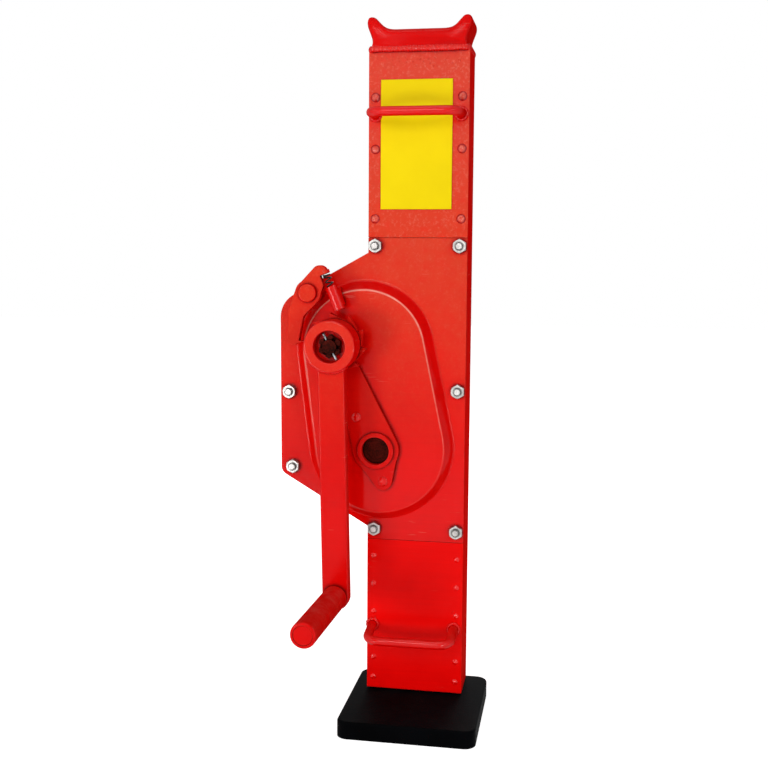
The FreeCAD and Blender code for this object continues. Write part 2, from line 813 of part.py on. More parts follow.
def make_fasteners():
    upper_sizes = (upper_rivet_radius, upper_rivet_head_radius, upper_rivet_head_height)
    lower_sizes = (lower_rivet_radius, lower_rivet_head_radius, lower_rivet_head_height)
    rows = {"upper_rivets": (upper_rivets, upper_sizes), "lower_rivets": (lower_rivets, lower_sizes)}
    front_end = front_inner + rail_thickness
    rear_end = rear_inner - rail_thickness
    back = []
    for name, (spots, sizes) in rows.items():
        parts[name] = Part.makeCompound([rivet(spot, *sizes, front, front_end) for spot in spots])
        back += [rivet(spot, *sizes, rear, rear_end) for spot in spots]
    parts["rear_rivets"] = Part.makeCompound(back)
    bolts, nuts = [], []
    for axis in all_bolts:
        end = front - nut_height - bolt_end_show
        head = hexagon(axis, bolt_across_flats, hexagon_turn, rear, rear + bolt_head_height)
        bolts.append(head.fuse(rod(axis, bolt_radius, end, rear)).removeSplitter())
        body = hexagon(axis, bolt_across_flats, hexagon_turn, front - nut_height, front)
        round_off = Part.makeCone(
            bolt_across_flats / math.sqrt(3) + nut_height, bolt_across_flats / 2 - seat_clearance,
            nut_height, V(axis[0], front, axis[1]), V(0, -1, 0))
        nuts.append(body.common(round_off).cut(rod(axis, bolt_hole, front - nut_height, front)))
    parts["cover_bolts"] = Part.makeCompound(bolts)
    parts["cover_nuts"] = Part.makeCompound(nuts)
    parts["case_spacers"] = Part.makeCompound(
        [ring(axis, spacer_radius, bolt_hole, front_inner, rear_inner) for axis in case_bolts])


make_guides()
make_fasteners()


def make_bearing_plate():
    nose = polar(main_axis, bearing_nose_distance, math.degrees(
        math.atan2(crank_axis[1] - main_axis[1], crank_axis[0] - main_axis[0])))
    ear = bearing_rivet_spots[0]
    plate = joined([
        link(main_axis, bearing_plate_radius, nose, bearing_nose_radius, plate_face, dome_front),
        link(main_axis, bearing_plate_radius - collar_edge, ear, bearing_ear_radius,
             plate_face, dome_front),
    ])
    collar = rod(main_axis, collar_radius, plate_face - collar_height, plate_face)
    lip = [e for e in collar.Edges if e.BoundBox.YMax < plate_face - collar_height / 2]
    plate = plate.fuse(collar.makeFillet(collar_edge, lip)).removeSplitter()
    hole = rod(main_axis, main_hole_radius + seat_clearance, plate_face - collar_height, dome_front)
    parts["bearing_plate"] = drilled(
        plate.cut(hole), bearing_rivet_spots, bearing_rivet_radius + seat_clearance, plate_face, dome_front)
    sizes = (bearing_rivet_radius, bearing_rivet_head_radius, bearing_rivet_head_height)
    parts["bearing_plate_rivets"] = Part.makeCompound(
        [rivet(spot, *sizes, plate_face, dome_inner) for spot in bearing_rivet_spots])


def make_bushes():
    main_front = plate_face - collar_height + main_bush_recess
    parts["crank_front_bush"] = bush(
        crank_axis, crank_shaft_radius, crank_bush_outer, dome_front, dome_inner, (dome_front, -1))
    parts["middle_front_bush"] = bush(
        middle_axis, middle_shaft_radius, middle_bush_outer, dome_front, dome_inner)
    parts["main_front_bush"] = bush(
        main_axis, main_journal_radius, main_hole_radius, main_front, dome_inner)
    for name, (axis, radius) in rear_shafts.items():
        parts[name + "_rear_bush"] = bush(axis, radius, radius + bush_wall, rear_inner, rear, (rear, 1))


make_bearing_plate()
make_bushes()

# Gears and shafts, set in mesh at rest
main_phase = 0.0
first_phase = 0.0
second_pinion_phase = mesh_phase(main_axis, middle_axis, main_wheel_teeth, main_phase, second_pinion_teeth)
crank_pinion_phase = mesh_phase(middle_axis, crank_axis, first_wheel_teeth, first_phase, crank_pinion_teeth)
shaft_end = rear + bush_flange_thickness


def make_main_shaft():
    front_end = plate_face - collar_height + main_bush_recess + side_clearance
    pinion = gear(main_axis, rack_pinion_teeth, rack_module, 0.0, rack_front, rack_rear, rack_shift)
    shaft = joined([
        rod(main_axis, main_journal_radius, front_end, main_wheel_front),
        rod(main_axis, main_shaft_radius, main_wheel_front, rack_front), pinion,
        rod(main_axis, main_journal_radius, rack_rear, shaft_end),
    ])
    key = keyway(main_axis, main_shaft_radius, main_wheel_front, main_wheel_rear)
    parts["pinion_shaft"] = shaft.cut(key)
    parts["main_wheel"] = wheel(main_axis, main_wheel_teeth, second_module, main_phase,
                                main_shaft_radius, main_wheel_front, main_wheel_rear)
    parts["main_wheel_key"] = key


def make_middle_shaft():
    pinion_front = main_wheel_front - side_clearance
    pinion_rear = main_wheel_rear + pinion_overhang
    shaft = joined([
        rod(middle_axis, middle_shaft_radius, dome_front, pinion_front),
        gear(middle_axis, second_pinion_teeth, second_module, second_pinion_phase,
             pinion_front, pinion_rear),
        rod(middle_axis, middle_wheel_seat_radius, pinion_rear, first_wheel_rear),
        rod(middle_axis, middle_shaft_radius, first_wheel_rear, shaft_end),
    ])
    key = keyway(middle_axis, middle_wheel_seat_radius, first_wheel_front, first_wheel_rear)
    parts["middle_shaft"] = shaft.cut(key)
    parts["first_wheel"] = wheel(middle_axis, first_wheel_teeth, first_module, first_phase,
                                 middle_wheel_seat_radius, first_wheel_front, first_wheel_rear)
    parts["first_wheel_key"] = key


split_pin_y = nut_seat - castle_nut_height + castle_slot_depth / 2
split_pin_eye_reach = nut_across_flats / 2 + split_pin_eye_radius + split_pin_wire_radius


def along_split_pin(distance):
    """Point on the split pin's line across the crank shaft, in the slots of the castle nut."""
    x, z = polar(crank_axis, distance, split_pin_angle)
    return V(x, split_pin_y, z)


def split_pin_rod(radius):
    start = along_split_pin(-split_pin_eye_reach + split_pin_eye_radius)
    stop = along_split_pin(hub_recess_radius - split_pin_end_gap)
    return Part.makeCylinder(radius, (stop - start).Length, start, stop - start)


def make_crank_shaft():
    pinion_front = first_wheel_front - pinion_overhang
    pinion_rear = first_wheel_rear + pinion_overhang
    shaft = joined([
        rod(crank_axis, crank_thread_radius, hub_front + shaft_end_sink, nut_seat),
        rod(crank_axis, crank_shaft_radius, nut_seat, pinion_front),
        rod(crank_axis, brake_flange_radius, brake_front, brake_rear),
        gear(crank_axis, crank_pinion_teeth, first_module, crank_pinion_phase, pinion_front, pinion_rear),
        rod(crank_axis, crank_rear_radius, pinion_rear, shaft_end),
    ])
    parts["crank_shaft"] = shaft.cut(split_pin_rod(split_pin_radius + seat_clearance))


def make_brake():
    bore = crank_shaft_radius + running_clearance
    parts["inner_friction_disc"] = ring(crank_axis, friction_disc_radius, bore, ratchet_rear, brake_front)
    parts["outer_friction_disc"] = ring(crank_axis, friction_disc_radius, bore, hub_rear, ratchet_front)
    points = []
    for i in range(ratchet_teeth):
        angle = ratchet_face_angle + i * 360 / ratchet_teeth
        for radius in (ratchet_tip_radius, ratchet_root_radius):
            x, z = polar(crank_axis, radius, angle)
            points.append(V(x, ratchet_front, z))
    disc = slab(Part.makePolygon(points + points[:1]), ratchet_width)
    parts["ratchet_wheel"] = disc.cut(rod(crank_axis, bore, ratchet_front, ratchet_rear))


def tilted(shape):
    """A piece of the grip, turned about the vertical through the arm so that its free end points outwards."""
    turned = shape.copy()
    turned.rotate(V(grip_axis[0], (arm_front + arm_rear) / 2, grip_axis[1]), V(0, 0, 1), -grip_tilt)
    return turned


def make_crank():
    hub = rod(crank_axis, hub_radius, hub_front, hub_rear)
    hub = hub.makeFillet(hub_edge_radius, [e for e in hub.Edges if e.BoundBox.YLength < seat_clearance])
    hub = hub.cut(rod(crank_axis, crank_shaft_radius + seat_clearance, hub_front, hub_rear))
    hub = hub.cut(rod(crank_axis, hub_recess_radius, hub_front, nut_seat))
    mouth = [e for e in hub.Edges if e.BoundBox.YMax < hub_front + seat_clearance
             and abs(e.BoundBox.XLength - 2 * hub_recess_radius) < seat_clearance]
    parts["crank_hub"] = hub.makeFillet(hub_edge_radius / 2, mouth)
    half = arm_width / 2
    bar = link(crank_axis, half, grip_axis, half, arm_front, arm_rear)
    bar = bar.makeFillet(arm_edge_radius, [e for e in bar.Edges if e.BoundBox.YLength < seat_clearance])
    bar = bar.cut(rod(crank_axis, hub_radius, arm_front, arm_rear))
    hole_radius = grip_spindle_radius + seat_clearance
    hole = rod(grip_axis, hole_radius, arm_front - arm_thickness, arm_rear + arm_thickness)
    parts["crank_arm"] = bar.cut(tilted(hole))
    grip_end = arm_front - grip_length
    spindle = rod(grip_axis, grip_spindle_radius, grip_end + grip_end_gap, arm_rear)
    head = rod(grip_axis, grip_head_radius, grip_end + grip_end_gap, grip_end + grip_head_height)
    parts["grip_spindle"] = tilted(spindle.fuse(head).removeSplitter())
    sleeve = rod(grip_axis, grip_radius, grip_end, arm_front - grip_side_gap)
    rims = [e for e in sleeve.Edges if e.BoundBox.YLength < seat_clearance]
    sleeve = sleeve.makeFillet(grip_edge_radius, rims)
    sleeve = sleeve.cut(rod(grip_axis, grip_spindle_radius + running_clearance, grip_end, arm_front))
    pocket = grip_end + grip_head_height + grip_end_gap
    sleeve = sleeve.cut(rod(grip_axis, grip_head_radius + guide_clearance, grip_end, pocket))
    parts["grip_sleeve"] = tilted(sleeve)


def make_castle_nut():
    top = nut_seat - castle_nut_height
    nut = hexagon(crank_axis, nut_across_flats, split_pin_angle + hexagon_turn, top, nut_seat)
    reach = nut_across_flats
    for i in range(3):
        slot = box(-reach, reach, top, top + castle_slot_depth,
                   -castle_slot_width / 2, castle_slot_width / 2)
        slot.rotate(V(0, 0, 0), V(0, 1, 0), -(split_pin_angle + 60 * i))
        slot.translate(V(crank_axis[0], 0, crank_axis[1]))
        nut = nut.cut(slot)
    parts["castle_nut"] = nut.cut(rod(crank_axis, crank_thread_radius + seat_clearance, top, nut_seat))
    across = (along_split_pin(1) - along_split_pin(0)).cross(V(0, 1, 0))
    eye = Part.makeTorus(
        split_pin_eye_radius, split_pin_wire_radius, along_split_pin(-split_pin_eye_reach), across)
    parts["split_pin"] = split_pin_rod(split_pin_radius).fuse(eye).removeSplitter()


make_main_shaft()
make_middle_shaft()
make_crank_shaft()
make_brake()
make_crank()
make_castle_nut()


# Pawl with its pivot, spring and spring tube
spring_foot = (crank_axis[0] + spring_foot_right, crank_axis[1] + spring_foot_up)
spring_y = (pawl_front + pawl_rear) / 2


def along_spring(distance):
    x, z = polar(spring_foot, distance, spring_lean)
    return V(x, spring_y, z)


def spring_rod(radius, start, stop):
    way = along_spring(1) - along_spring(0)
    return Part.makeCylinder(radius, stop - start, along_spring(start), way)


def make_pawl():
    knee = (pawl_axis[0] - pawl_knee_left, pawl_axis[1] - pawl_knee_down)
    heel = (pawl_axis[0] - pawl_heel_left, pawl_axis[1] - pawl_heel_down)
    horn = (pawl_axis[0] + pawl_horn_right, pawl_axis[1] + pawl_horn_up)
    tip = polar(crank_axis, ratchet_tip_radius + pawl_tip_clearance, pawl_tip_angle)
    claw_top = (heel[0], tip[1] + pawl_claw_rise, 0)
    claw_bottom = (heel[0], heel[1] - pawl_heel_radius, 0)
    claw_corners = [claw_top, (tip[0], tip[1], 0), claw_bottom]
    lever = joined([
        link(pawl_axis, pawl_lobe_radius, knee, pawl_knee_radius, pawl_front, pawl_rear),
        link(knee, pawl_knee_radius, heel, pawl_heel_radius, pawl_front, pawl_rear),
        slab(rounded_outline(claw_corners, pawl_front), pawl_thickness),
        link(pawl_axis, pawl_horn_root_radius, horn, pawl_horn_radius, pawl_front, pawl_rear),
    ])
    pocket_start = spring_tube_length - spring_pocket_below_mouth
    lever = lever.cut(spring_rod(spring_pocket_radius, pocket_start, spring_length))
    pad = spring_rod(spring_pad_radius, spring_length, spring_length + spring_pad_height)
    lever = lever.fuse(pad).removeSplitter()
    parts["pawl"] = lever.cut(rod(pawl_axis, pivot_pin_radius + running_clearance, pawl_front, pawl_rear))


def make_pivot():
    boss_front = pawl_rear + guide_clearance
    head_rear = pawl_front - guide_clearance
    pin = joined([
        rod(pawl_axis, pivot_pin_radius, head_rear, front_inner),
        rod(pawl_axis, pivot_boss_radius, boss_front, front),
        rod(pawl_axis, pivot_head_radius, head_rear - pivot_head_height, head_rear),
    ])
    rim = [e for e in pin.Edges if e.BoundBox.YMax < head_rear - pivot_head_height / 2]
    parts["pawl_pivot"] = pin.makeFillet(pivot_head_height / 3, rim)


def make_spring_tube():
    tube = spring_rod(spring_tube_radius, 0, spring_tube_length)
    middle = along_spring(spring_tube_length / 2)
    pedestal = box(-bracket_width / 2, bracket_width / 2, spring_y, front,
                   -bracket_length / 2, bracket_length / 2)
    pedestal.rotate(V(0, 0, 0), V(0, 1, 0), 90 - spring_lean)
    pedestal.translate(V(middle.x, 0, middle.z))
    holder = tube.fuse(pedestal.cut(dome_mound()).cut(parts["gear_cover"])).removeSplitter()
    parts["spring_tube"] = holder.cut(
        spring_rod(spring_tube_radius - spring_tube_wall, spring_tube_wall, spring_tube_length))


def make_spring():
    """Coil of round wire from the tube's floor to the pad of the pawl's horn."""
    start = spring_tube_wall + spring_wire_radius + guide_clearance
    height = spring_length - guide_clearance - spring_wire_radius - start
    path = Part.makeHelix(height / spring_turns, height, spring_coil_radius)
    section = Part.Wire(Part.makeCircle(spring_wire_radius, V(spring_coil_radius, 0, 0), V(0, 1, 0)))
    coil = Part.Wire(path).makePipeShell([section], True, True)
    coil.rotate(V(0, 0, 0), V(0, 1, 0), 90 - spring_lean)
    coil.translate(along_spring(start))
    parts["pawl_spring"] = coil


make_pawl()
make_pivot()
make_spring_tube()
make_spring()


def make_head():
    low = housing_top
    top = low + head_height
    seat = low + seat_height
    side = [(head_base_half_width, low, 0), (neck_half_width, low + neck_height, neck_radius),
            (horn_reach, low + horn_reach_height, horn_side_radius), (horn_outer, top, horn_tip_radius),
            (horn_inner, top, horn_tip_radius), (seat_half_width, seat, seat_radius)]
    other = [(-x, z, radius) for x, z, radius in reversed(side)]
    block = slab(rounded_outline(side + other, -head_depth / 2), head_depth)
    flat = [e for e in block.Edges if e.BoundBox.YLength < seat_clearance]
    rim = [e for e in flat if e.BoundBox.ZMax > low + seat_clearance]
    parts["lifting_head"] = block.makeFillet(head_edge_radius, rim)


def handle(height, droop, shift):
    """Round bar bent into a bow, both ends standing on the front of the housing."""
    far = front - handle_stand_off
    left = shift - handle_half_width
    right = shift + handle_half_width
    spots = [V(left, front, height), V(left, far, height - droop),
             V(right, far, height - droop), V(right, front, height)]
    edges = []
    last = spots[0]
    for i in (1, 2):
        back = (spots[i - 1] - spots[i]).normalize()
        ahead = (spots[i + 1] - spots[i]).normalize()
        half = back.getAngle(ahead) / 2
        reach = handle_bend_radius / math.tan(half)
        inward = handle_bend_radius / math.sin(half) - handle_bend_radius
        middle = spots[i] + (back + ahead).normalize() * inward
        start, stop = spots[i] + back * reach, spots[i] + ahead * reach
        edges.append(Part.LineSegment(last, start).toShape())
        edges.append(Part.Arc(start, middle, stop).toShape())
        last = stop
    edges.append(Part.LineSegment(last, spots[3]).toShape())
    path = Part.Wire(edges)
    way = (spots[1] - spots[0]).normalize()
    lead_in = Part.LineSegment(spots[0] - way * handle_bar_radius, spots[0]).toShape()
    lead_out = Part.LineSegment(spots[3], spots[3] - way * handle_bar_radius).toShape()
    section = Part.Wire(Part.makeCircle(handle_bar_radius, spots[0] - way * handle_bar_radius, way))
    bow = Part.Wire([lead_in] + path.Edges + [lead_out]).makePipeShell([section], True, True)
    reach = half_width + 2 * handle_bar_radius
    drop = abs(droop) + 2 * handle_bar_radius
    return bow.cut(box(-reach, reach, front, rear, height - drop, height + drop))


make_head()
lower_grip_row = housing_low + lower_handle_rise
parts["upper_handle"] = handle(upper_grip_row, upper_handle_droop, upper_handle_shift)
parts["lower_handle"] = handle(lower_grip_row, lower_handle_droop, lower_handle_shift)
label_top = housing_top - label_below_top
parts["label_plate"] = box(
    label_left_margin - half_width, half_width - label_right_margin, front - label_thickness, front,
    label_top - label_height, label_top)

os.makedirs("parts", exist_ok=True)
for name, shape in parts.items():
    solids = len(shape.Solids)
    print(name, "solids", solids, "volume", round(shape.Volume), "valid", shape.isValid())
    shape.exportStep("parts/" + name + ".step")
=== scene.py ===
# %% [markdown]
# # A red rack and pinion jack
# The solids of the jack come in as a fixed frame: every plate, gear and bolt is already in its
# place. This lesson dresses them: a camera that matches the photograph, painted and bare metal
# finishes, and the small forms that a workshop leaves behind, such as weld beads, spatter and a
# wound spring.

import json
import math

import bpy
import numpy as np
from mathutils import Matrix, Vector


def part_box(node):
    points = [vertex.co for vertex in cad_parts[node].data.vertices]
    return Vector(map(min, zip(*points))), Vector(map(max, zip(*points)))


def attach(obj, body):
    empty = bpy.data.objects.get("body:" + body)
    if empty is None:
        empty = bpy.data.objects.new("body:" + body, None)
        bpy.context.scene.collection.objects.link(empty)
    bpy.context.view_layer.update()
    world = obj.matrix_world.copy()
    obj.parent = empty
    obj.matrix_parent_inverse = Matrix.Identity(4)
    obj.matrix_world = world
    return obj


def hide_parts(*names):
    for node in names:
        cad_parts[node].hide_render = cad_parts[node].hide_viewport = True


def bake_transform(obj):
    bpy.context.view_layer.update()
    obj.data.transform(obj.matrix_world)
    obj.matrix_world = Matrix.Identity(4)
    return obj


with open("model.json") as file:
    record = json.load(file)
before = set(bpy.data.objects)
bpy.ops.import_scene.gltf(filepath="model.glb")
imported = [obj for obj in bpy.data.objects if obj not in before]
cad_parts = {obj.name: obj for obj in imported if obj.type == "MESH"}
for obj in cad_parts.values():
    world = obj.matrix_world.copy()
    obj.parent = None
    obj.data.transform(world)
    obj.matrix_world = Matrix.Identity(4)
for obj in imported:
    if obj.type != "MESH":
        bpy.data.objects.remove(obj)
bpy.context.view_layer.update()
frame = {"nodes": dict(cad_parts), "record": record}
nodes = frame["nodes"]
slot_of_node = {part["node"]: part["material_slot"] for part in frame["record"]["subparts"]}

# %% [markdown]
# ## Camera
# The photograph was taken from a little above and to the right, so the right edge of the housing is
# nearly end-on. Focal length, place and angles were worked out from straight edges and the known
# sizes of the solids, which is why the lens is given in pixels of the square picture.

# %% Camera
PICTURE_PX = 768
FOCAL_PX = 1097.1
SENSOR_MM = 36.0
CAMERA_PLACE = (0.1671, -1.1513, 0.4932)
CAMERA_TURN = math.radians(10.139)
CAMERA_DIP = math.radians(7.006)
CAMERA_ROLL = math.radians(0.301)

scene = bpy.context.scene
lens = bpy.data.cameras.new("studio_camera")
lens.sensor_width = SENSOR_MM
lens.lens = SENSOR_MM * FOCAL_PX / PICTURE_PX
camera = bpy.data.objects.new("studio_camera", lens)
scene.collection.objects.link(camera)
look = Matrix.Rotation(CAMERA_TURN, 4, "Z") @ Matrix.Rotation(math.pi / 2 - CAMERA_DIP, 4, "X")
look = look @ Matrix.Rotation(CAMERA_ROLL, 4, "Z")
camera.matrix_world = Matrix.Translation(CAMERA_PLACE) @ look
scene.camera = camera
print("lens mm", round(lens.lens, 2))

# %% [markdown]
# ## Light and floor
# The picture has a white studio behind the jack and a soft key lamp close to the camera: faces that
# look at the camera are bright, every slope that turns away is darker, and the top plate carries a
# weak glare. Two small lamps stand low in front, one on each side, so that the foot of the jack is
# as bright as its top and no one-sided shadow falls beside the crank. Lamps to the left, to the
# right, above and behind fill the rest. The white behind comes from the world for camera, glossy
# and transmitted rays only, so the paint gets little of it as light.

# %% Wires and sums
def wire(tree, out_socket, in_socket):
    """Link an output to an input."""
    tree.links.new(out_socket, in_socket)


def feed(tree, value, slot):
    """Give a slot its value: a socket is linked, a number or a colour is set."""
    if isinstance(value, bpy.types.NodeSocket):
        wire(tree, value, slot)
    else:
        slot.default_value = value


def math_node(tree, operation, *operands):
    """One Math node; each operand is a socket or a number."""
    node = tree.nodes.new("ShaderNodeMath")
    node.operation = operation
    for slot, operand in zip(node.inputs, operands):
        feed(tree, operand, slot)
    return node.outputs[0]


print("wires and sums ready")


# %% Levels by a mask
def mix_value(tree, mask, levels):
    """Straight run between two levels with a mask; each level is a socket or a number."""
    node = tree.nodes.new("ShaderNodeMapRange")
    for label, level in zip(("To Min", "To Max"), levels):
        feed(tree, level, node.inputs[label])
    wire(tree, mask, node.inputs["Value"])
    return node.outputs["Result"]


def ramp_node(tree, value, span, levels=(0.0, 1.0)):
    """Smooth step between two levels while the value crosses a span."""
    node = tree.nodes.new("ShaderNodeMapRange")
    node.interpolation_type = "SMOOTHSTEP"
    for label, number in zip(("From Min", "From Max", "To Min", "To Max"), (*span, *levels)):
        node.inputs[label].default_value = number
    wire(tree, value, node.inputs["Value"])
    return node.outputs["Result"]


print("straight and smooth levels ready")

# %% White for the eye
WHITE_TO_EYE, WHITE_AS_LIGHT = 1.0, 0.16


def white_for_the_eye(tree, to_eye, as_light):
    """Strength with one value for camera, glossy and transmitted rays, and another for the rest."""
    path = tree.nodes.new("ShaderNodeLightPath").outputs
    mirrored = math_node(tree, "MAXIMUM", path["Is Camera Ray"], path["Is Glossy Ray"])
    seen = math_node(tree, "MAXIMUM", mirrored, path["Is Transmission Ray"])
    return mix_value(tree, seen, (as_light, to_eye))


scene.view_settings.view_transform = "Standard"
world = bpy.data.worlds.new("white_studio")
world.use_nodes = True
scene.world = world
sky_tree = world.node_tree
sky = sky_tree.nodes["Background"]
sky.inputs["Color"].default_value = (1, 1, 1, 1)
sky_strength = white_for_the_eye(sky_tree, WHITE_TO_EYE, WHITE_AS_LIGHT)
wire(sky_tree, sky_strength, sky.inputs["Strength"])
print("world", world.name)

# %% Lamps
# name, place, point it faces, side of its square in metres, watts
LAMPS = (
    ("key_softbox", (-0.22, -1.5, 0.88), (-0.03, 0, 0.42), 0.5, 4.9),
    ("low_left_softbox", (-0.7, -1.1, 0.18), (-0.03, 0, 0.08), 0.3, 4.5),
    ("low_right_softbox", (0.75, -1.1, 0.18), (-0.03, 0, 0.08), 0.3, 3.4),
    ("left_softbox", (-1.25, -0.9, 1.0), (-0.03, 0, 0.4), 0.6, 3.5),
    ("right_softbox", (1.3, -0.9, 0.9), (-0.03, 0, 0.4), 0.4, 3.0),
    ("top_softbox", (0.1, -0.4, 1.9), (0, 0, 0.5), 0.9, 5),
    ("rear_softbox", (0.2, 1.6, 1.2), (0, 0, 0.4), 1.0, 14),
)


def soft_lamp(name, place, aim, size, watts):
    """A square area lamp at a place, turned to face a point of the jack."""
    lamp = bpy.data.lights.new(name, "AREA")
    lamp.size = size
    lamp.energy = watts
    holder = bpy.data.objects.new(name, lamp)
    scene.collection.objects.link(holder)
    turn = (Vector(aim) - Vector(place)).to_track_quat("-Z", "Y").to_matrix().to_4x4()
    holder.matrix_world = Matrix.Translation(place) @ turn


for lamp_row in LAMPS:
    soft_lamp(*lamp_row)

# %% [markdown]
# The floor is a sheet of white paper. Its own light for the camera rises with the distance from the
# jack, so the paper meets the white world without a line, and the shadow near the foot stays.

# %% Floor
FLOOR_HALF = 6.0
PAPER_GREY, PAPER_ROUGHNESS = (0.82, 0.82, 0.82, 1), 0.9
PAPER_NEAR_FAR, PAPER_DIM_WHITE = (0.15, 0.9), (0.72, 1.0)


def start_finish(name):
    """New material with its node tree, its Principled shader and the object's coordinates."""
    material = bpy.data.materials.new(name)
    material.use_nodes = True
    tree = material.node_tree
    place = tree.nodes.new("ShaderNodeTexCoord").outputs["Object"]
    return material, tree, tree.nodes["Principled BSDF"], place


floor_mesh = bpy.data.meshes.new("studio_floor")
floor_corners = FLOOR_HALF * np.array([(-1, -1, 0), (1, -1, 0), (1, 1, 0), (-1, 1, 0)])
floor_mesh.from_pydata(floor_corners.tolist(), [], [(0, 1, 2, 3)])
studio_floor = bpy.data.objects.new("studio_floor", floor_mesh)
scene.collection.objects.link(studio_floor)
paper, paper_tree, paper_shader, paper_place = start_finish("white_paper")
paper_shader.inputs["Base Color"].default_value = PAPER_GREY
paper_shader.inputs["Roughness"].default_value = PAPER_ROUGHNESS
paper_shader.inputs["Specular IOR Level"].default_value = 0.0
paper_shader.inputs["Emission Color"].default_value = (1, 1, 1, 1)
paper_distance = paper_tree.nodes.new("ShaderNodeVectorMath")
paper_distance.operation = "LENGTH"
wire(paper_tree, paper_place, paper_distance.inputs[0])
paper_level = ramp_node(paper_tree, paper_distance.outputs["Value"], PAPER_NEAR_FAR,
                        PAPER_DIM_WHITE)
paper_white = white_for_the_eye(paper_tree, paper_level, 0.0)
wire(paper_tree, paper_white, paper_shader.inputs["Emission Strength"])
floor_mesh.materials.append(paper)
print("floor", FLOOR_HALF * 2, "m wide")

# %% [markdown]
# ## Shared surface effects
# Six effects turn up on several finishes, so each is a node group. `uneven_coat` gives slow and
# fine noise for paint thickness and orange peel, and streaks as a wide brush leaves them.
# `rounded_edges` rounds the normals of sharp sheet edges and gives masks of where an edge is.
# One group marks faces that look upwards: settled dust, and on the grip also a painted highlight.
# `spray_side` marks those that look to the front or the back, the slopes between, and the dry
# streaks on the others. The seam group marks corners, recesses and gaps between parts, which are
# darkened as dirt and also as painted shade, and how open a face lies, which keeps the painted
# glare of the red off faces in the shelter of other parts, so they stay deep red as painted shade.
# `scuffs` marks a few short scratches. The patterns read the object's own coordinates, so they
# move with the part.

# %% Sockets of a node group
def new_group(name, numbers, results):
    """Empty shader group that reads a Place and some numbers, given with their defaults."""
    group = bpy.data.node_groups.new(name, "ShaderNodeTree")
    sockets = group.interface
    sockets.new_socket("Place", in_out="INPUT", socket_type="NodeSocketVector")
    for label, default in numbers.items():
        socket = sockets.new_socket(label, in_out="INPUT", socket_type="NodeSocketFloat")
        socket.default_value = default
    for label in results:
        kind = "NodeSocketVector" if label == "Normal" else "NodeSocketFloat"
        sockets.new_socket(label, in_out="OUTPUT", socket_type=kind)
    group_in, group_out = (group.nodes.new(kind) for kind in ("NodeGroupInput", "NodeGroupOutput"))
    return group, group_in.outputs, group_out.inputs


def put_out(group, group_out, **results):
    """Link each result to the group's output of that name."""
    for label, socket in results.items():
        wire(group, socket, group_out[label])
    print("group", group.name, "gives", list(results))


print("groups can be started")


# %% Masks and patterns
def product(tree, first, second):
    """First times second."""
    return math_node(tree, "MULTIPLY", first, second)


def inverse(tree, mask):
    """One minus a mask."""
    return math_node(tree, "SUBTRACT", 1.0, mask)


def part_along(tree, vector, axis):
    """One coordinate of a vector."""
    node = tree.nodes.new("ShaderNodeSeparateXYZ")
    wire(tree, vector, node.inputs[0])
    return node.outputs[axis]


def noise_node(tree, vector, scale, detail, rough):
    """Noise of a scale that is a number or a socket."""
    node = tree.nodes.new("ShaderNodeTexNoise")
    node.inputs["Detail"].default_value = detail
    node.inputs["Roughness"].default_value = rough
    wire(tree, vector, node.inputs["Vector"])
    feed(tree, scale, node.inputs["Scale"])
    return node.outputs["Fac"]


def stretched(tree, vector, scale, lean=0.0):
    """Coordinates turned by an angle about y and scaled by a different amount along each axis."""
    node = tree.nodes.new("ShaderNodeMapping")
    node.inputs["Rotation"].default_value = (0, lean, 0)
    node.inputs["Scale"].default_value = scale
    wire(tree, vector, node.inputs["Vector"])
    return node.outputs["Vector"]


print("masks and patterns ready")

# %% The uneven_coat group
STREAK_STRETCH = (14, 14, 420)
uneven_coat, coat_in, coat_out = new_group(
    "uneven_coat", {"Slow Scale": 9.0, "Peel Scale": 420.0}, ["Slow", "Peel", "Streaks"])
coat_place = coat_in["Place"]
streak_place = stretched(uneven_coat, coat_place, STREAK_STRETCH)
put_out(uneven_coat, coat_out,
        Slow=noise_node(uneven_coat, coat_place, coat_in["Slow Scale"], detail=4.0, rough=0.55),
        Peel=noise_node(uneven_coat, coat_place, coat_in["Peel Scale"], detail=2.0, rough=0.45),
        Streaks=noise_node(uneven_coat, streak_place, scale=1.0, detail=4.0, rough=0.6))

# %% The rounded_edges group
BEVEL_SAMPLES = 6
EDGE_BEND, RIM_BEND = (0.02, 0.22), (0.004, 0.03)
CHIP_LEVEL = (0.60, 0.66)
rounded_edges, edge_in, edge_out = new_group(
    "rounded_edges", {"Radius": 0.0008, "Chips": 260.0}, ["Normal", "Edge", "Chipped", "Rim"])
bevel = rounded_edges.nodes.new("ShaderNodeBevel")
bevel.samples = BEVEL_SAMPLES
wire(rounded_edges, edge_in["Radius"], bevel.inputs["Radius"])
flat_normal = rounded_edges.nodes.new("ShaderNodeNewGeometry").outputs["Normal"]
agree = rounded_edges.nodes.new("ShaderNodeVectorMath")
agree.operation = "DOT_PRODUCT"
wire(rounded_edges, bevel.outputs["Normal"], agree.inputs[0])
wire(rounded_edges, flat_normal, agree.inputs[1])
bend = inverse(rounded_edges, agree.outputs["Value"])
edge = ramp_node(rounded_edges, bend, EDGE_BEND)
chip_noise = noise_node(rounded_edges, edge_in["Place"], edge_in["Chips"], detail=5.0, rough=0.7)
chips = ramp_node(rounded_edges, chip_noise, CHIP_LEVEL)
put_out(rounded_edges, edge_out, Normal=bevel.outputs["Normal"], Edge=edge,
        Chipped=product(rounded_edges, edge, chips), Rim=ramp_node(rounded_edges, bend, RIM_BEND))
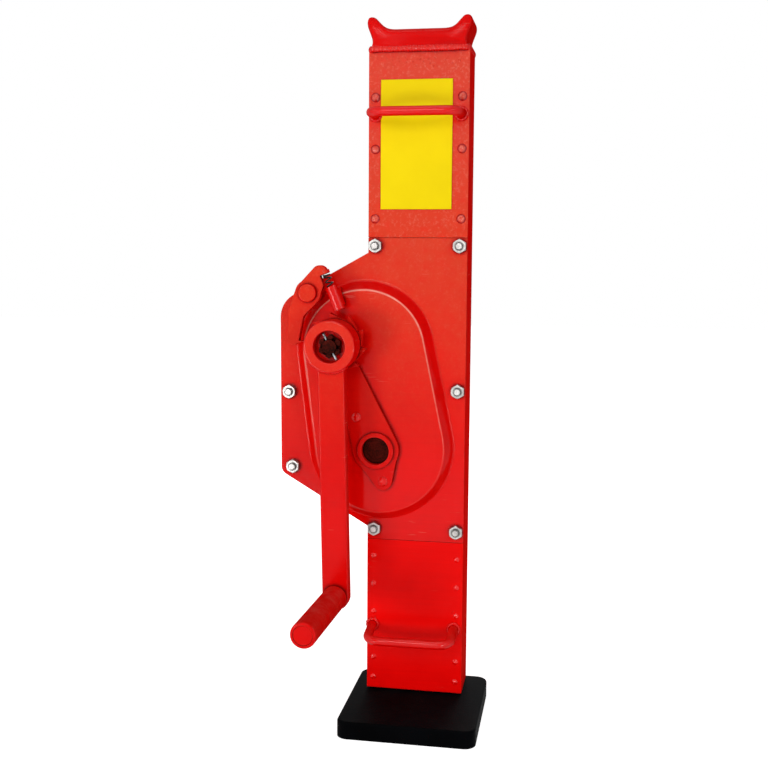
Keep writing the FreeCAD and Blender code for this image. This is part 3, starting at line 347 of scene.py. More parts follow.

# %% The group for dust and a painted highlight on upward faces
UP_SLOPE, DRIFT_LEVEL = (0.35, 0.95), (0.35, 0.75)
# dust settles on faces that look upwards; a finish that asks for much of it, as the grip does, gets
# a painted highlight on its upper side as well
settled_dust_and_sheen, dust_in, dust_out = new_group("settled_dust_and_sheen", {"Amount": 0.3}, ["Dust"])
dust_normal = settled_dust_and_sheen.nodes.new("ShaderNodeNewGeometry").outputs["Normal"]
facing_up = ramp_node(settled_dust_and_sheen, part_along(settled_dust_and_sheen, dust_normal, "Z"), UP_SLOPE)
drift_noise = noise_node(settled_dust_and_sheen, dust_in["Place"], scale=60.0, detail=5.0, rough=0.65)
layer = product(settled_dust_and_sheen, facing_up, ramp_node(settled_dust_and_sheen, drift_noise, DRIFT_LEVEL))
put_out(settled_dust_and_sheen, dust_out, Dust=product(settled_dust_and_sheen, layer, dust_in["Amount"]))

# %% The spray_side group
FRONT_SLOPE, FLAT_SLOPE = (0.15, 0.75), (0.70, 0.97)
TURN_SLOPE, LEVEL_SLOPE = (0.72, 0.9), (0.96, 0.995)
GLOSS_SWING, GLOSS_FLOOR = 0.5, 0.75
DRY_STRETCH, DRY_LEVEL = (60, 60, 9), (0.35, 0.75)
spray_side, spray_in, spray_out = new_group(
    "spray_side", {"Gloss": 0.4}, ["Gloss", "Flat", "Dry", "Turn"])
spray_normal = spray_side.nodes.new("ShaderNodeNewGeometry").outputs["Normal"]
towards = math_node(spray_side, "ABSOLUTE", part_along(spray_side, spray_normal, "Y"))
front_or_back = ramp_node(spray_side, towards, FRONT_SLOPE)
patches = noise_node(spray_side, spray_in["Place"], scale=180.0, detail=4.0, rough=0.6)
patchy = math_node(spray_side, "ADD", product(spray_side, patches, GLOSS_SWING), GLOSS_FLOOR)
wet_share = product(spray_side, front_or_back, patchy)
dry_place = stretched(spray_side, spray_in["Place"], DRY_STRETCH)
overspray = noise_node(spray_side, dry_place, scale=1.0, detail=5.0, rough=0.65)
sideways = inverse(spray_side, front_or_back)
not_level = inverse(spray_side, ramp_node(spray_side, towards, LEVEL_SLOPE))
put_out(spray_side, spray_out,
        Gloss=product(spray_side, wet_share, spray_in["Gloss"]),
        Flat=ramp_node(spray_side, towards, FLAT_SLOPE),
        Dry=product(spray_side, sideways, ramp_node(spray_side, overspray, DRY_LEVEL)),
        Turn=product(spray_side, ramp_node(spray_side, towards, TURN_SLOPE), not_level))

# %% The group for dirt and painted shade in seams
SHELTER_SAMPLES, SMEAR_FLOOR = 8, 0.5
GRIME_SHADE_LEVEL, OPEN_LEVEL = (0.10, 0.55), (0.55, 0.95)


def openness(tree, reach):
    """How open a point lies within a reach: 1 in the free, less in a corner."""
    node = tree.nodes.new("ShaderNodeAmbientOcclusion")
    node.samples = SHELTER_SAMPLES
    wire(tree, reach, node.inputs["Distance"])
    return node.outputs["AO"]


seam_grime_and_shade, grime_shade_in, grime_shade_out = new_group(
    "seam_grime_and_shade", {"Reach": 0.006, "Shade Reach": 0.05}, ["Grime", "Open"])
# dirt and painted shade: darker where a point lies hidden within the short reach, broken by noise
smear = noise_node(seam_grime_and_shade, grime_shade_in["Place"], scale=220.0, detail=4.0, rough=0.6)
hidden = product(seam_grime_and_shade, inverse(seam_grime_and_shade, openness(seam_grime_and_shade, grime_shade_in["Reach"])),
                 math_node(seam_grime_and_shade, "ADD", smear, SMEAR_FLOOR))
# the far openness only limits the painted glare, so faces in the shelter of other parts stay deep
# red as painted shade
far_openness = openness(seam_grime_and_shade, grime_shade_in["Shade Reach"])
put_out(seam_grime_and_shade, grime_shade_out, Grime=ramp_node(seam_grime_and_shade, hidden, GRIME_SHADE_LEVEL),
        Open=ramp_node(seam_grime_and_shade, far_openness, OPEN_LEVEL))

# %% The scuffs group
SCUFF_STRETCH, SCUFF_LEAN = (45, 45, 620), math.radians(20)
SCRATCH_LEVEL, KNOCK_LEVEL = (0.66, 0.72), (0.56, 0.66)
scuffs, scuff_in, scuff_out = new_group("scuffs", {}, ["Scuffed"])
slanted = stretched(scuffs, scuff_in["Place"], SCUFF_STRETCH, SCUFF_LEAN)
scratch_noise = noise_node(scuffs, slanted, scale=1.0, detail=2.0, rough=0.4)
knock_noise = noise_node(scuffs, scuff_in["Place"], scale=26.0, detail=2.0, rough=0.5)
scratches = ramp_node(scuffs, scratch_noise, SCRATCH_LEVEL)
knocks = ramp_node(scuffs, knock_noise, KNOCK_LEVEL)
put_out(scuffs, scuff_out, Scuffed=product(scuffs, scratches, knocks))

# %% [markdown]
# ## Finishes
# Each finish is one material: a Principled shader, the object's coordinates and the groups that it
# asks for. Colours are mixed from the masks; gloss values that are the same all over are set
# straight on the shader.

# %% Helpers for finishes
def use_group(tree, group, place, **values):
    """Place a shared group, feed it the coordinates and set its numbers."""
    node = tree.nodes.new("ShaderNodeGroup")
    node.node_tree = group
    wire(tree, place, node.inputs["Place"])
    for label, value in values.items():
        node.inputs[label.replace("_", " ")].default_value = value
    return node.outputs


def mix_colour(tree, mask, first, second):
    """Blend of two colours by a mask; each colour is a socket or an RGB triple."""
    node = tree.nodes.new("ShaderNodeMix")
    node.data_type = "RGBA"
    wire(tree, mask, node.inputs["Factor"])
    for label, colour in (("A", first), ("B", second)):
        slot = [s for s in node.inputs if s.name == label and s.type == "RGBA"][0]
        feed(tree, (*colour, 1) if isinstance(colour, tuple) else colour, slot)
    return [s for s in node.outputs if s.type == "RGBA"][0]


def lay_over(tree, below, colour, mask, share):
    """A colour laid over the one below by a share of a mask."""
    return mix_colour(tree, product(tree, mask, share), below, colour)


def two_parts(tree, first, second, share):
    """A share of the first value and the rest of the second."""
    return math_node(tree, "ADD", product(tree, first, share), product(tree, second, 1 - share))


def bump_into(tree, shader, height, depth, normal):
    """Bump of a given depth in metres over a normal, into the shader."""
    node = tree.nodes.new("ShaderNodeBump")
    node.inputs["Distance"].default_value = depth
    node.inputs["Strength"].default_value = 1.0
    wire(tree, height, node.inputs["Height"])
    wire(tree, normal, node.inputs["Normal"])
    wire(tree, node.outputs["Normal"], shader.inputs["Normal"])


print("finish helpers ready")

# %% [markdown]
# ### Red enamel
# Thick shop enamel over sheet steel: an even, very saturated red that is a touch darker where it is
# thin, with faint brush streaks, orange peel, a few scuffs and small chips along sharp edges that
# show primer. Sharp edges are a paler red, which is rubbed paint and also a painted highlight. The
# upper half carries a painted glare, a paler orange red with pale mottles, but only on flat faces
# that lie open: slopes and places in the shelter of the crank keep their deep red, which is painted
# shade. The rim of the pressed cover carries a painted highlight, most of all at its top. Corners,
# recesses and gaps between parts are darker, which is dirt and also painted shade. The paint was
# sprayed from the front and the back, so those faces are glossy and the sides have a dry, dull
# coat: the clear layer's weight follows the direction of the face. One colour and one gloss would
# look like plastic; the masks of the shared groups make it paint on steel.

# %% Colours of the paint
RED = (0.77, 0.0015, 0.001)
RED_DEEP = (0.66, 0.001, 0.0008)
# painted glare: a pale orange red for flat, open faces of the upper half
RED_PAINTED_GLARE = (0.70, 0.044, 0.016)
# pale mottles within the painted glare
RED_GLARE_MOTTLE = (0.78, 0.17, 0.11)
RED_DRY = (0.66, 0.030, 0.020)
# dirt and painted shade for corners, recesses and gaps between parts
RED_GRIME_SHADE = (0.11, 0.003, 0.002)
# paler red for sharp edges: rubbed paint and also a painted highlight
RED_RUBBED_HIGHLIGHT = (0.84, 0.03, 0.018)
# painted highlight on the rim of the pressed cover
RED_RIM_HIGHLIGHT = (0.86, 0.30, 0.23)
PRIMER = (0.09, 0.03, 0.026)
SCRATCHED = (0.80, 0.24, 0.18)
# dust, and on the grip also a painted highlight on its upper side
PAINT_DUST_AND_SHEEN = (0.60, 0.26, 0.22)
print("fresh red", RED, "painted_glare", RED_PAINTED_GLARE)

# %% Red coat with a painted glare
SLOW_SHARE, THICK_LEVEL, MOTTLE_LEVEL = 0.8, (0.30, 0.66), (0.48, 0.74)


def coat_red_and_glare(tree, place, coat, painted_glare, glare_mottle, tone):
    """Deep red where the coat is thin, bright where thick, with a pale mottled painted glare."""
    thick = ramp_node(tree, two_parts(tree, coat["Slow"], coat["Streaks"], SLOW_SHARE), THICK_LEVEL)
    deep, bright = (tuple(tone * v for v in red) for red in (RED_DEEP, RED))
    colour = mix_colour(tree, painted_glare, mix_colour(tree, thick, deep, bright), RED_PAINTED_GLARE)
    mottle_noise = noise_node(tree, place, scale=380.0, detail=4.0, rough=0.65)
    mottles = product(tree, ramp_node(tree, mottle_noise, MOTTLE_LEVEL), glare_mottle)
    return lay_over(tree, colour, RED_GLARE_MOTTLE, painted_glare, mottles)


print("mottles between noise levels", MOTTLE_LEVEL)

# %% Painted highlight on the rim of a pressing
RIM_BLOTCHES, RIM_FOOT_TOP = (0.1, 0.9), (0.1, 2.2)


def rim_highlight_mask(tree, place, rim_depth, blotches, upper_half):
    """Painted highlight on what is proud of a span of depths: blotchy, most in the upper half."""
    proud = ramp_node(tree, product(tree, part_along(tree, place, "Y"), -1.0), rim_depth)
    rim_highlight = product(tree, proud, mix_value(tree, blotches, RIM_BLOTCHES))
    return product(tree, rim_highlight, mix_value(tree, upper_half, RIM_FOOT_TOP))


# the rim's painted highlight is weakest at the foot and strongest at the top
print("rim is rubbed from", RIM_FOOT_TOP[0], "at the foot to", RIM_FOOT_TOP[1], "at the top")

# %% Red enamel
GLARE_HEIGHTS, GLARE_BLOTCHES = (0.24, 0.54), (0.3, 1.7)
DRY_SHARE, RUBBED_HIGHLIGHT_SHARE, SCRATCH_SHARE = 0.5, 0.5, 0.3
PAINT_ROUGHNESS = (0.4, 0.6)


def make_red_enamel(name, edge_radius, gloss, gloss_roughness, glare_share=1.0, peel_depth=0.0001,
                    chip_share=0.7, grime_shade_share=0.8, dust_and_sheen_amount=0.04, glare_only_where_open=True, tone=1.0,
                    glare_mottle=0.2, rim_depth=None):
    """Red paint on one kind of piece.

    edge_radius and peel_depth are in metres, and gloss is the weight of the clear layer. fade sets
    the painted glare and chalk its pale mottles; chip_share, grime_shade_share and
    dust_and_sheen_amount say how much shows of the chips, of the darkening by dirt and painted
    shade, and of the dust, which on the grip is also a painted highlight. tone says how bright the
    fresh red is. With sheltered set, the painted glare lies only on flat and open faces, so slopes
    and faces in shelter keep a deep red that is painted shade. rim_depth is the span in metres,
    towards the front, over which the rim of a pressing carries a painted highlight.
    """
    material, tree, shader, place = start_finish(name)
    coat = use_group(tree, uneven_coat, place)
    edges = use_group(tree, rounded_edges, place, Radius=edge_radius)
    dust = use_group(tree, settled_dust_and_sheen, place, Amount=dust_and_sheen_amount)
    grime_shade = use_group(tree, seam_grime_and_shade, place)
    wet = use_group(tree, spray_side, place, Gloss=gloss)
    scratch = use_group(tree, scuffs, place)
    # painted glare: a pale orange red over the upper half, in blotches
    blotches = noise_node(tree, place, scale=110.0, detail=6.0, rough=0.7)
    upper_half = ramp_node(tree, part_along(tree, place, "Z"), GLARE_HEIGHTS)
    glare_levels = tuple(glare_share * level for level in GLARE_BLOTCHES)
    painted_glare = product(tree, upper_half, mix_value(tree, blotches, glare_levels))
    # with sheltered set, the painted glare lies only on flat and open faces: slopes and faces
    # beside the crank keep a deep red that is painted shade
    if glare_only_where_open:
        painted_glare = product(tree, painted_glare, product(tree, wet["Flat"], grime_shade["Open"]))
    colour = coat_red_and_glare(tree, place, coat, painted_glare, glare_mottle, tone)
    colour = lay_over(tree, colour, RED_DRY, wet["Dry"], DRY_SHARE)
    # paler sharp edges: rubbed paint and also a painted highlight
    colour = lay_over(tree, colour, RED_RUBBED_HIGHLIGHT, edges["Edge"], RUBBED_HIGHLIGHT_SHARE)
    # painted highlight on the proud rim of a pressing
    if rim_depth is not None:
        rim_highlight = rim_highlight_mask(tree, place, rim_depth, blotches, upper_half)
        colour = lay_over(tree, colour, RED_RIM_HIGHLIGHT, rim_highlight, wet["Turn"])
    colour = lay_over(tree, colour, SCRATCHED, scratch["Scuffed"], SCRATCH_SHARE * chip_share)
    colour = lay_over(tree, colour, PRIMER, edges["Chipped"], chip_share)
    # dust on upward faces, on the grip also a painted highlight
    colour = mix_colour(tree, dust["Dust"], colour, PAINT_DUST_AND_SHEEN)
    # corners, recesses and gaps between parts: dirt and painted shade
    colour = lay_over(tree, colour, RED_GRIME_SHADE, grime_shade["Grime"], grime_shade_share)
    wire(tree, colour, shader.inputs["Base Color"])
    wire(tree, mix_value(tree, coat["Slow"], PAINT_ROUGHNESS), shader.inputs["Roughness"])
    wire(tree, wet["Gloss"], shader.inputs["Coat Weight"])
    shader.inputs["Coat Roughness"].default_value = gloss_roughness
    shader.inputs["Specular IOR Level"].default_value = 0.0
    bump_into(tree, shader, coat["Peel"], peel_depth, edges["Normal"])
    return material


# the painted glare grows between these heights
print("the red fades between heights", GLARE_HEIGHTS)

# %% [markdown]
# Each kind of piece takes this paint in its own way: forgings have soft edges, bars a bright gloss,
# the upper rivets a crown of painted highlight in a ring of painted shade, the small rivets a
# brighter red that is a painted highlight, and weld metal no chips. One function with named values
# makes them all, so a change of the paint reaches every piece.

# %% Red enamel on each kind of piece
red_enamel = make_red_enamel(
    "red_enamel_on_sheet", edge_radius=0.0009, gloss=0.12, gloss_roughness=0.24,
    peel_depth=0.00006, chip_share=0.6, tone=1.14, glare_mottle=0.5)
red_cover = make_red_enamel(
    "red_enamel_on_pressing", edge_radius=0.0009, gloss=0.25, gloss_roughness=0.13,
    peel_depth=0.00006, chip_share=0.6, rim_depth=(0.0362, 0.0372))
red_forged = make_red_enamel(
    "red_enamel_on_forging", edge_radius=0.0020, gloss=0.18, gloss_roughness=0.18, glare_share=0.8,
    tone=0.9)
red_hub = make_red_enamel(
    "red_enamel_on_hub", edge_radius=0.0020, gloss=0.3, gloss_roughness=0.12, glare_share=0.8,
    grime_shade_share=0.1, tone=0.95)
red_head = make_red_enamel(
    "red_enamel_on_head", edge_radius=0.0010, gloss=0.16, gloss_roughness=0.14, glare_share=0.0)
red_bar = make_red_enamel(
    "red_enamel_on_bar", edge_radius=0.0012, gloss=0.42, gloss_roughness=0.08, glare_share=0.0)
# much dust on the grip: dust and also a painted highlight along its upper side
red_grip = make_red_enamel(
    "red_enamel_on_grip", edge_radius=0.0012, gloss=0.15, gloss_roughness=0.2, glare_share=0.0,
    dust_and_sheen_amount=0.12, tone=0.88)
# upper rivets: a strong painted glare on the crown, a dark tone and strong darkening at the foot
# give a painted highlight in a ring of painted shade
red_rivet = make_red_enamel(
    "red_enamel_on_rivets", edge_radius=0.0004, gloss=0.8, gloss_roughness=0.05, glare_share=1.6,
    peel_depth=0.00001, chip_share=0.3, grime_shade_share=2.0, tone=0.6, glare_mottle=1.0)
# small rivets: a brighter red than the plate's, a painted highlight
red_small_rivet = make_red_enamel(
    "red_enamel_on_small_rivets", edge_radius=0.0003, gloss=0.8, gloss_roughness=0.05, glare_share=0.4,
    peel_depth=0.00001, chip_share=0.0, grime_shade_share=0.2, tone=1.2)
red_weld = make_red_enamel(
    "red_enamel_on_weld", edge_radius=0.0001, gloss=0.50, gloss_roughness=0.18, glare_share=0.2,
    chip_share=0.0, grime_shade_share=0.0)
# the spatter drops carry the painted glare all over, so they read as pale specks
red_spatter = make_red_enamel(
    "red_enamel_on_spatter", edge_radius=0.0001, gloss=0.50, gloss_roughness=0.18, glare_share=1.2,
    peel_depth=0.00003, chip_share=0.0, grime_shade_share=0.0, dust_and_sheen_amount=0.0, glare_only_where_open=False)
print("reds", [m.name for m in bpy.data.materials if m.name.startswith("red_enamel")])

# %% [markdown]
# ### Bare and blackened metals
# The inner pieces show at the back, in the hub's recess and when the housing has climbed the rack.
# Cut steel has fine tool lines, zinc is paler and blotchy, blackened steel keeps an oil film, and
# old grease hides the steel of the shafts; its near black is also painted shade for the holes and
# the hub's recess in which the shaft ends sit. Bolt ends carry a thread: fine rings along their
# axis in the bump, and a dark ring round the end, where dirt stays. The other metals have paler
# edges, a painted highlight, and every metal is darker in its corners, from dirt and painted shade.

# %% Metals
METAL_SLOW, METAL_PEEL, METAL_SLOW_SHARE = 70.0, 700.0, 0.6
METAL_EDGE, THREAD_EDGE = 0.0005, 0.0024
GRAIN_DEPTH, THREAD_DEPTH = 0.00004, 0.0003
METAL_TONES, METAL_GRIME_SHADE_REACH = (0.32, 0.68), 0.003
SOIL_SHADE, SHINY, SHINY_SHARE = 0.1, 1.3, 0.4
SMOOTHER, ROUGHER = 0.08, 0.12


def make_metal(name, light, dark, roughness, lines=None, metallic=1.0, thread=None, mirror=0.5):
    """Metal with blotches, with tool lines from stretched noise or with thread rings along y."""
    material, tree, shader, place = start_finish(name)
    coat = use_group(tree, uneven_coat, place, Slow_Scale=METAL_SLOW, Peel_Scale=METAL_PEEL)
    edges = use_group(tree, rounded_edges, place, Radius=THREAD_EDGE if thread else METAL_EDGE)
    grime_shade = use_group(tree, seam_grime_and_shade, place, Reach=METAL_GRIME_SHADE_REACH)
    fine, depth = coat["Peel"], GRAIN_DEPTH
    if lines is not None:
        fine = noise_node(tree, stretched(tree, place, lines), scale=1.0, detail=3.0, rough=0.6)
    tone = two_parts(tree, coat["Slow"], fine, METAL_SLOW_SHARE)
    colour = mix_colour(tree, ramp_node(tree, tone, METAL_TONES), dark, light)
    soil_shade = tuple(SOIL_SHADE * v for v in dark)
    if thread is None:
        # painted highlight: edges are a paler metal
        shine = tuple(min(1.0, v * SHINY) for v in light)
        colour = lay_over(tree, colour, shine, edges["Edge"], SHINY_SHARE)
    else:
        turns = product(tree, part_along(tree, place, "Y"), 2 * math.pi / thread)
        fine, depth = math_node(tree, "SINE", turns), THREAD_DEPTH
        colour = mix_colour(tree, edges["Rim"], colour, soil_shade)
    # corners: dirt and painted shade
    colour = mix_colour(tree, grime_shade["Grime"], colour, soil_shade)
    wire(tree, colour, shader.inputs["Base Color"])
    shader.inputs["Metallic"].default_value = metallic
    shader.inputs["Specular IOR Level"].default_value = mirror
    gloss_run = mix_value(tree, tone, (roughness - SMOOTHER, roughness + ROUGHER))
    wire(tree, gloss_run, shader.inputs["Roughness"])
    bump_into(tree, shader, fine, depth, edges["Normal"])
    return material


zinc = make_metal("bright_zinc", (0.54, 0.53, 0.51), (0.27, 0.26, 0.25), 0.30)
bolt_zinc = make_metal(
    "threaded_zinc", (0.58, 0.56, 0.54), (0.30, 0.28, 0.27), 0.34, thread=0.00125)
gear_steel = make_metal(
    "cut_gear_steel", (0.30, 0.30, 0.31), (0.13, 0.13, 0.14), 0.38, lines=(160, 900, 160))
rack_steel = make_metal(
    "greased_rack_steel", (0.33, 0.32, 0.31), (0.12, 0.11, 0.10), 0.40, lines=(900, 900, 60))
black_steel = make_metal(
    "blackened_steel", (0.022, 0.019, 0.017), (0.006, 0.005, 0.005), 0.42, metallic=0.0,
    mirror=0.14)
bronze = make_metal(
    "bush_bronze", (0.40, 0.23, 0.10), (0.20, 0.11, 0.045), 0.38, lines=(300, 1200, 300))
# near black: old grease, and also painted shade for the holes and the recess where these ends sit
grease_and_shade = make_metal(
    "old_grease_and_shade_on_steel", (0.090, 0.007, 0.004), (0.010, 0.002, 0.001), 0.5, metallic=0.0,
    mirror=0.02)
metals = (zinc, bolt_zinc, gear_steel, rack_steel, black_steel, bronze, grease_and_shade)
print("metals", [m.name for m in metals])

# %% [markdown]
# ### Black foot, brake lining and yellow lacquer
# The foot is a thick plate in satin black, a little dusty on top, with pale broken lines along its
# rim that are scuffs and also a painted highlight. The brake lining is a pressed fibre disc. The
# plate under the upper handle is bare yellow lacquer. All three are a coat of two tones with worn
# edges, so one function makes them.

# %% Coats
COAT_EDGE, COAT_TONES = 0.0012, (0.35, 0.68)
COAT_SMOOTHER, COAT_ROUGHER = 0.08, 0.10


def make_coated(name, light, dark, roughness, slow, peel, depth, dust, wear_and_sheen, mirror=0.2):
    """Two tones of one colour, with (amount, colour) of dust and (share, colour) of scuffed edges.
    """
    material, tree, shader, place = start_finish(name)
    coat = use_group(tree, uneven_coat, place, Slow_Scale=slow, Peel_Scale=peel)
    edges = use_group(tree, rounded_edges, place, Radius=COAT_EDGE)
    settled = use_group(tree, settled_dust_and_sheen, place, Amount=dust[0])
    colour = mix_colour(tree, ramp_node(tree, coat["Slow"], COAT_TONES), dark, light)
    colour = lay_over(tree, colour, wear_and_sheen[1], edges["Chipped"], wear_and_sheen[0])
    colour = mix_colour(tree, settled["Dust"], colour, dust[1])
    wire(tree, colour, shader.inputs["Base Color"])
    gloss_run = mix_value(tree, coat["Slow"], (roughness - COAT_SMOOTHER, roughness + COAT_ROUGHER))
    wire(tree, gloss_run, shader.inputs["Roughness"])
    shader.inputs["Specular IOR Level"].default_value = mirror
    bump_into(tree, shader, coat["Peel"], depth, edges["Normal"])
    return material


# the pale broken lines along the foot's edges are scuffs and also a painted highlight
black_foot = make_coated(
    "black_foot_paint", (0.0013, 0.0015, 0.0020), (0.0005, 0.0005, 0.0007), 0.6,
    slow=18.0, peel=260.0, depth=0.00018, dust=(0.014, (0.09, 0.09, 0.09)),
    wear_and_sheen=(1.0, (0.11, 0.12, 0.125)), mirror=0.012)
brake_lining = make_coated(
    "brake_lining", (0.22, 0.16, 0.12), (0.10, 0.075, 0.06), 0.75,
    slow=200.0, peel=900.0, depth=0.0001, dust=(0.0, (0.3, 0.3, 0.3)),
    wear_and_sheen=(0.4, (0.38, 0.32, 0.28)))
yellow_lacquer = make_coated(
    "yellow_lacquer", (0.91, 0.70, 0.003), (0.87, 0.66, 0.002), 0.45,
    slow=14.0, peel=500.0, depth=0.00003, dust=(0.0, (0.9, 0.8, 0.4)),
    wear_and_sheen=(0.5, (0.55, 0.52, 0.45)), mirror=0.04)
print("coats", [m.name for m in (black_foot, brake_lining, yellow_lacquer)])

# %% [markdown]
# ## Dressing the solids
# The record says which finish each node takes. The solids keep their meshes; only their material
# changes. Pieces that differ from the rest of their slot are listed with a finish of their own:
# forgings, bars and rivets in red, thread ends, and the greasy ends of the shafts, whose near black
# is old grease and also painted shade for the holes and the recess they sit in.

# %% Materials onto the nodes
finish_of_slot = {
    "red_paint": red_enamel, "black_foot": black_foot, "zinc": zinc, "gear_steel": gear_steel,
    "rack_steel": rack_steel, "black_steel": black_steel, "bronze": bronze,
    "brake_lining": brake_lining, "yellow_plate": yellow_lacquer,
}
nodes_of_finish = (
    (red_cover, ["gear_cover"]),
    (red_forged, ["crank_arm", "ratchet_wheel", "pawl", "pawl_pivot", "bearing_plate",
                  "middle_front_bush"]),
    (red_hub, ["crank_hub"]),
    (red_head, ["lifting_head"]),
    (red_bar, ["upper_handle", "lower_handle", "spring_tube", "bearing_plate_rivets"]),
    (red_grip, ["grip_sleeve", "grip_spindle"]),
    (red_rivet, ["upper_rivets"]),
    (red_small_rivet, ["lower_rivets", "rear_rivets"]),
    (bolt_zinc, ["cover_bolts"]),
    (gear_steel, ["split_pin"]),
    (grease_and_shade, ["pinion_shaft", "main_front_bush", "castle_nut", "crank_shaft", "middle_shaft"]),
)
own_finish = {name: finish for finish, names in nodes_of_finish for name in names}
for name, solid in nodes.items():
    solid.data.materials.clear()
    solid.data.materials.append(own_finish.get(name, finish_of_slot[slot_of_node[name]]))
print("dressed", len(nodes), "nodes,", len(own_finish), "with a finish of their own")

# %% [markdown]
# ## Sweeping a profile along a path
# Weld beads and the spring are one idea: an oval profile carried along a path. With whole arrays it
# takes a few lines. Each path point has two directions across the path, and the profile's angle
# runs round them. A closed path joins its ends; an open one gets a point at each end. Faces come as
# arrays too, one array for each number of corners.

# %% Adding a piece
MM = 0.001


def in_mm(box):
    """Low and high corner of a box in metres, as arrays in mm."""
    return [np.array(corner) / MM for corner in box]


def enclosed(points, faces):
    """Six times the volume inside: the sum of a . (b x c) over each face's fan of triangles."""
    fans = ((points[f[:, :1]], points[f[:, 1:-1]], points[f[:, 2:]]) for f in faces)
    return sum((a * np.cross(b, c)).sum() for a, b, c in fans)


def add_piece(name, points, faces, material, body):
    """Closed smooth mesh in metres, faces turned outwards; it rides on a body, if one is named."""
    if enclosed(points, faces) < 0:
        faces = [f[:, ::-1] for f in faces]
    mesh = bpy.data.meshes.new(name)
    mesh.from_pydata(points.tolist(), [], sum((f.tolist() for f in faces), []))
    mesh.polygons.foreach_set("use_smooth", np.ones(len(mesh.polygons), bool))
    mesh.materials.append(material)
    piece = bpy.data.objects.new(name, mesh)
    scene.collection.objects.link(piece)
    if body is not None:
        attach(piece, body)
    return piece


print("pieces are added in metres, worked out in units of", MM)


# %% Sweep
def tube_quads(rings, sides, closed):
    """Quads between neighbouring rings, round each ring and, if closed, from last to first."""
    i = np.arange(rings if closed else rings - 1)[:, None]
    j = np.arange(sides)[None, :]
    ahead, beside = (i + 1) % rings, (j + 1) % sides
    corners = [i * sides + j, i * sides + beside, ahead * sides + beside, ahead * sides + j]
    return np.stack(corners, -1).reshape(-1, 4)


def sweep(path, side, up, wide, high, sides, closed=False):
    """point(s, t) = path(s) + wide(s) cos(t) side(s) + high(s) sin(t) up(s), with t once round."""
    t = np.linspace(0, 2 * np.pi, sides, endpoint=False)
    across = wide[:, None, None] * np.cos(t)[None, :, None] * side[:, None, :]
    along_up = high[:, None, None] * np.sin(t)[None, :, None] * up[:, None, :]
    points = (path[:, None, :] + across + along_up).reshape(-1, 3)
    faces = [tube_quads(len(path), sides, closed)]
    if not closed:
        last = len(points)
        points = np.vstack([points, path[:1], path[-1:]])
        ring = np.arange(sides)
        after = (ring + 1) % sides
        foot = np.stack([np.full(sides, last), after, ring], -1)
        head = np.stack([np.full(sides, last + 1), last - sides + ring, last - sides + after], -1)
        faces.append(np.vstack([foot, head]))
    return points, faces


print("sweep ready")

# %% [markdown]
# ## Weld beads
# The head is welded to the top of the housing, the handles to its front, and the crank arm to its
# hub. A hand-laid bead is an uneven half-round with a ripple for each small step of the torch, so
# its width and height swell and fall along the path.

# %% Weld bead
RIPPLE, RIPPLE_SWELL = 2.8, 0.22
BEAD_KNOTS, BEAD_UNEVEN, BEAD_SIDES = 30, 0.08, 10
bead_random = np.random.default_rng(7)


def bead(name, path, side, up, half_width, half_height, body):
    """An oval swept along a closed path in mm; its size rises in each ripple and drops again."""
    steps = np.linalg.norm(np.diff(path, axis=0), axis=1)
    run = np.concatenate([[0], np.cumsum(steps)])
    ripple = RIPPLE_SWELL * np.abs(np.sin(np.pi * run / RIPPLE)) - RIPPLE_SWELL / 2
    knots = np.linspace(0, run[-1], BEAD_KNOTS)
    uneven = np.interp(run, knots, bead_random.normal(0, BEAD_UNEVEN, BEAD_KNOTS))
    size = 1 + ripple + uneven * np.sin(np.pi * run / run[-1]) ** 0.5
    wide, high = half_width * size * MM, half_height * size * MM
    points, faces = sweep(path * MM, side, up, wide, high, BEAD_SIDES, closed=True)
    return add_piece(name, points, faces, red_weld, body)


print("a ripple every", RIPPLE, "mm")

# %% Head weld
SEAM_HALF_X, SEAM_HALF_Y, SEAM_CORNER = 50.2, 27.0, 5.0
SEAM_STEP, SEAM_RISE = 0.45, 0.8
SEAM_HALF_WIDTH, SEAM_HALF_HEIGHT = 2.4, 3.2
LOOP_ANGLES = 720


def rectangle_loop(half_x, half_y, radius, step):
    """Points of a rounded rectangle, a corner plus the radius along each normal, and normals."""
    angle = np.linspace(0, 2 * np.pi, LOOP_ANGLES, endpoint=False)
    normal = np.stack([np.cos(angle), np.sin(angle)], -1)
    loop = np.sign(normal) * np.array([half_x - radius, half_y - radius]) + radius * normal
    ring = np.vstack([loop, loop[:1]])
    run = np.concatenate([[0], np.cumsum(np.linalg.norm(np.diff(ring, axis=0), axis=1))])
    even = np.arange(0, run[-1], step)
    loop = np.stack([np.interp(even, run, ring[:, k]) for k in (0, 1)], -1)
    tangent = np.roll(loop, -1, 0) - np.roll(loop, 1, 0)
    tangent /= np.linalg.norm(tangent, axis=1)[:, None]
    return loop, np.stack([tangent[:, 1], -tangent[:, 0]], -1)


head_low = in_mm(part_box("lifting_head"))[0]
seam, seam_out = rectangle_loop(SEAM_HALF_X, SEAM_HALF_Y, SEAM_CORNER, SEAM_STEP)
seam_path = np.column_stack([seam, np.full(len(seam), head_low[2] + SEAM_RISE)])
seam_side = np.column_stack([seam_out, np.zeros(len(seam))])
seam_up = np.tile([0.0, 0.0, 1.0], (len(seam), 1))
head_bead = bead("head_weld_bead", seam_path, seam_side, seam_up, SEAM_HALF_WIDTH,
                 SEAM_HALF_HEIGHT, "housing")
print("head bead", len(head_bead.data.vertices), "points")

# %% [markdown]
# ## Forged head
# The head is a forging: its outline with the two horns comes from a die, and no edge of it is
# sharp. A box with bevels would look cut from plate. So the outline is rounded by cutting its
# corners again and again, and then carried from front to back while it draws in near both ends:
# most along the seat, least at the tips of the horns, and not at all along the foot, where it
# stands on its weld.

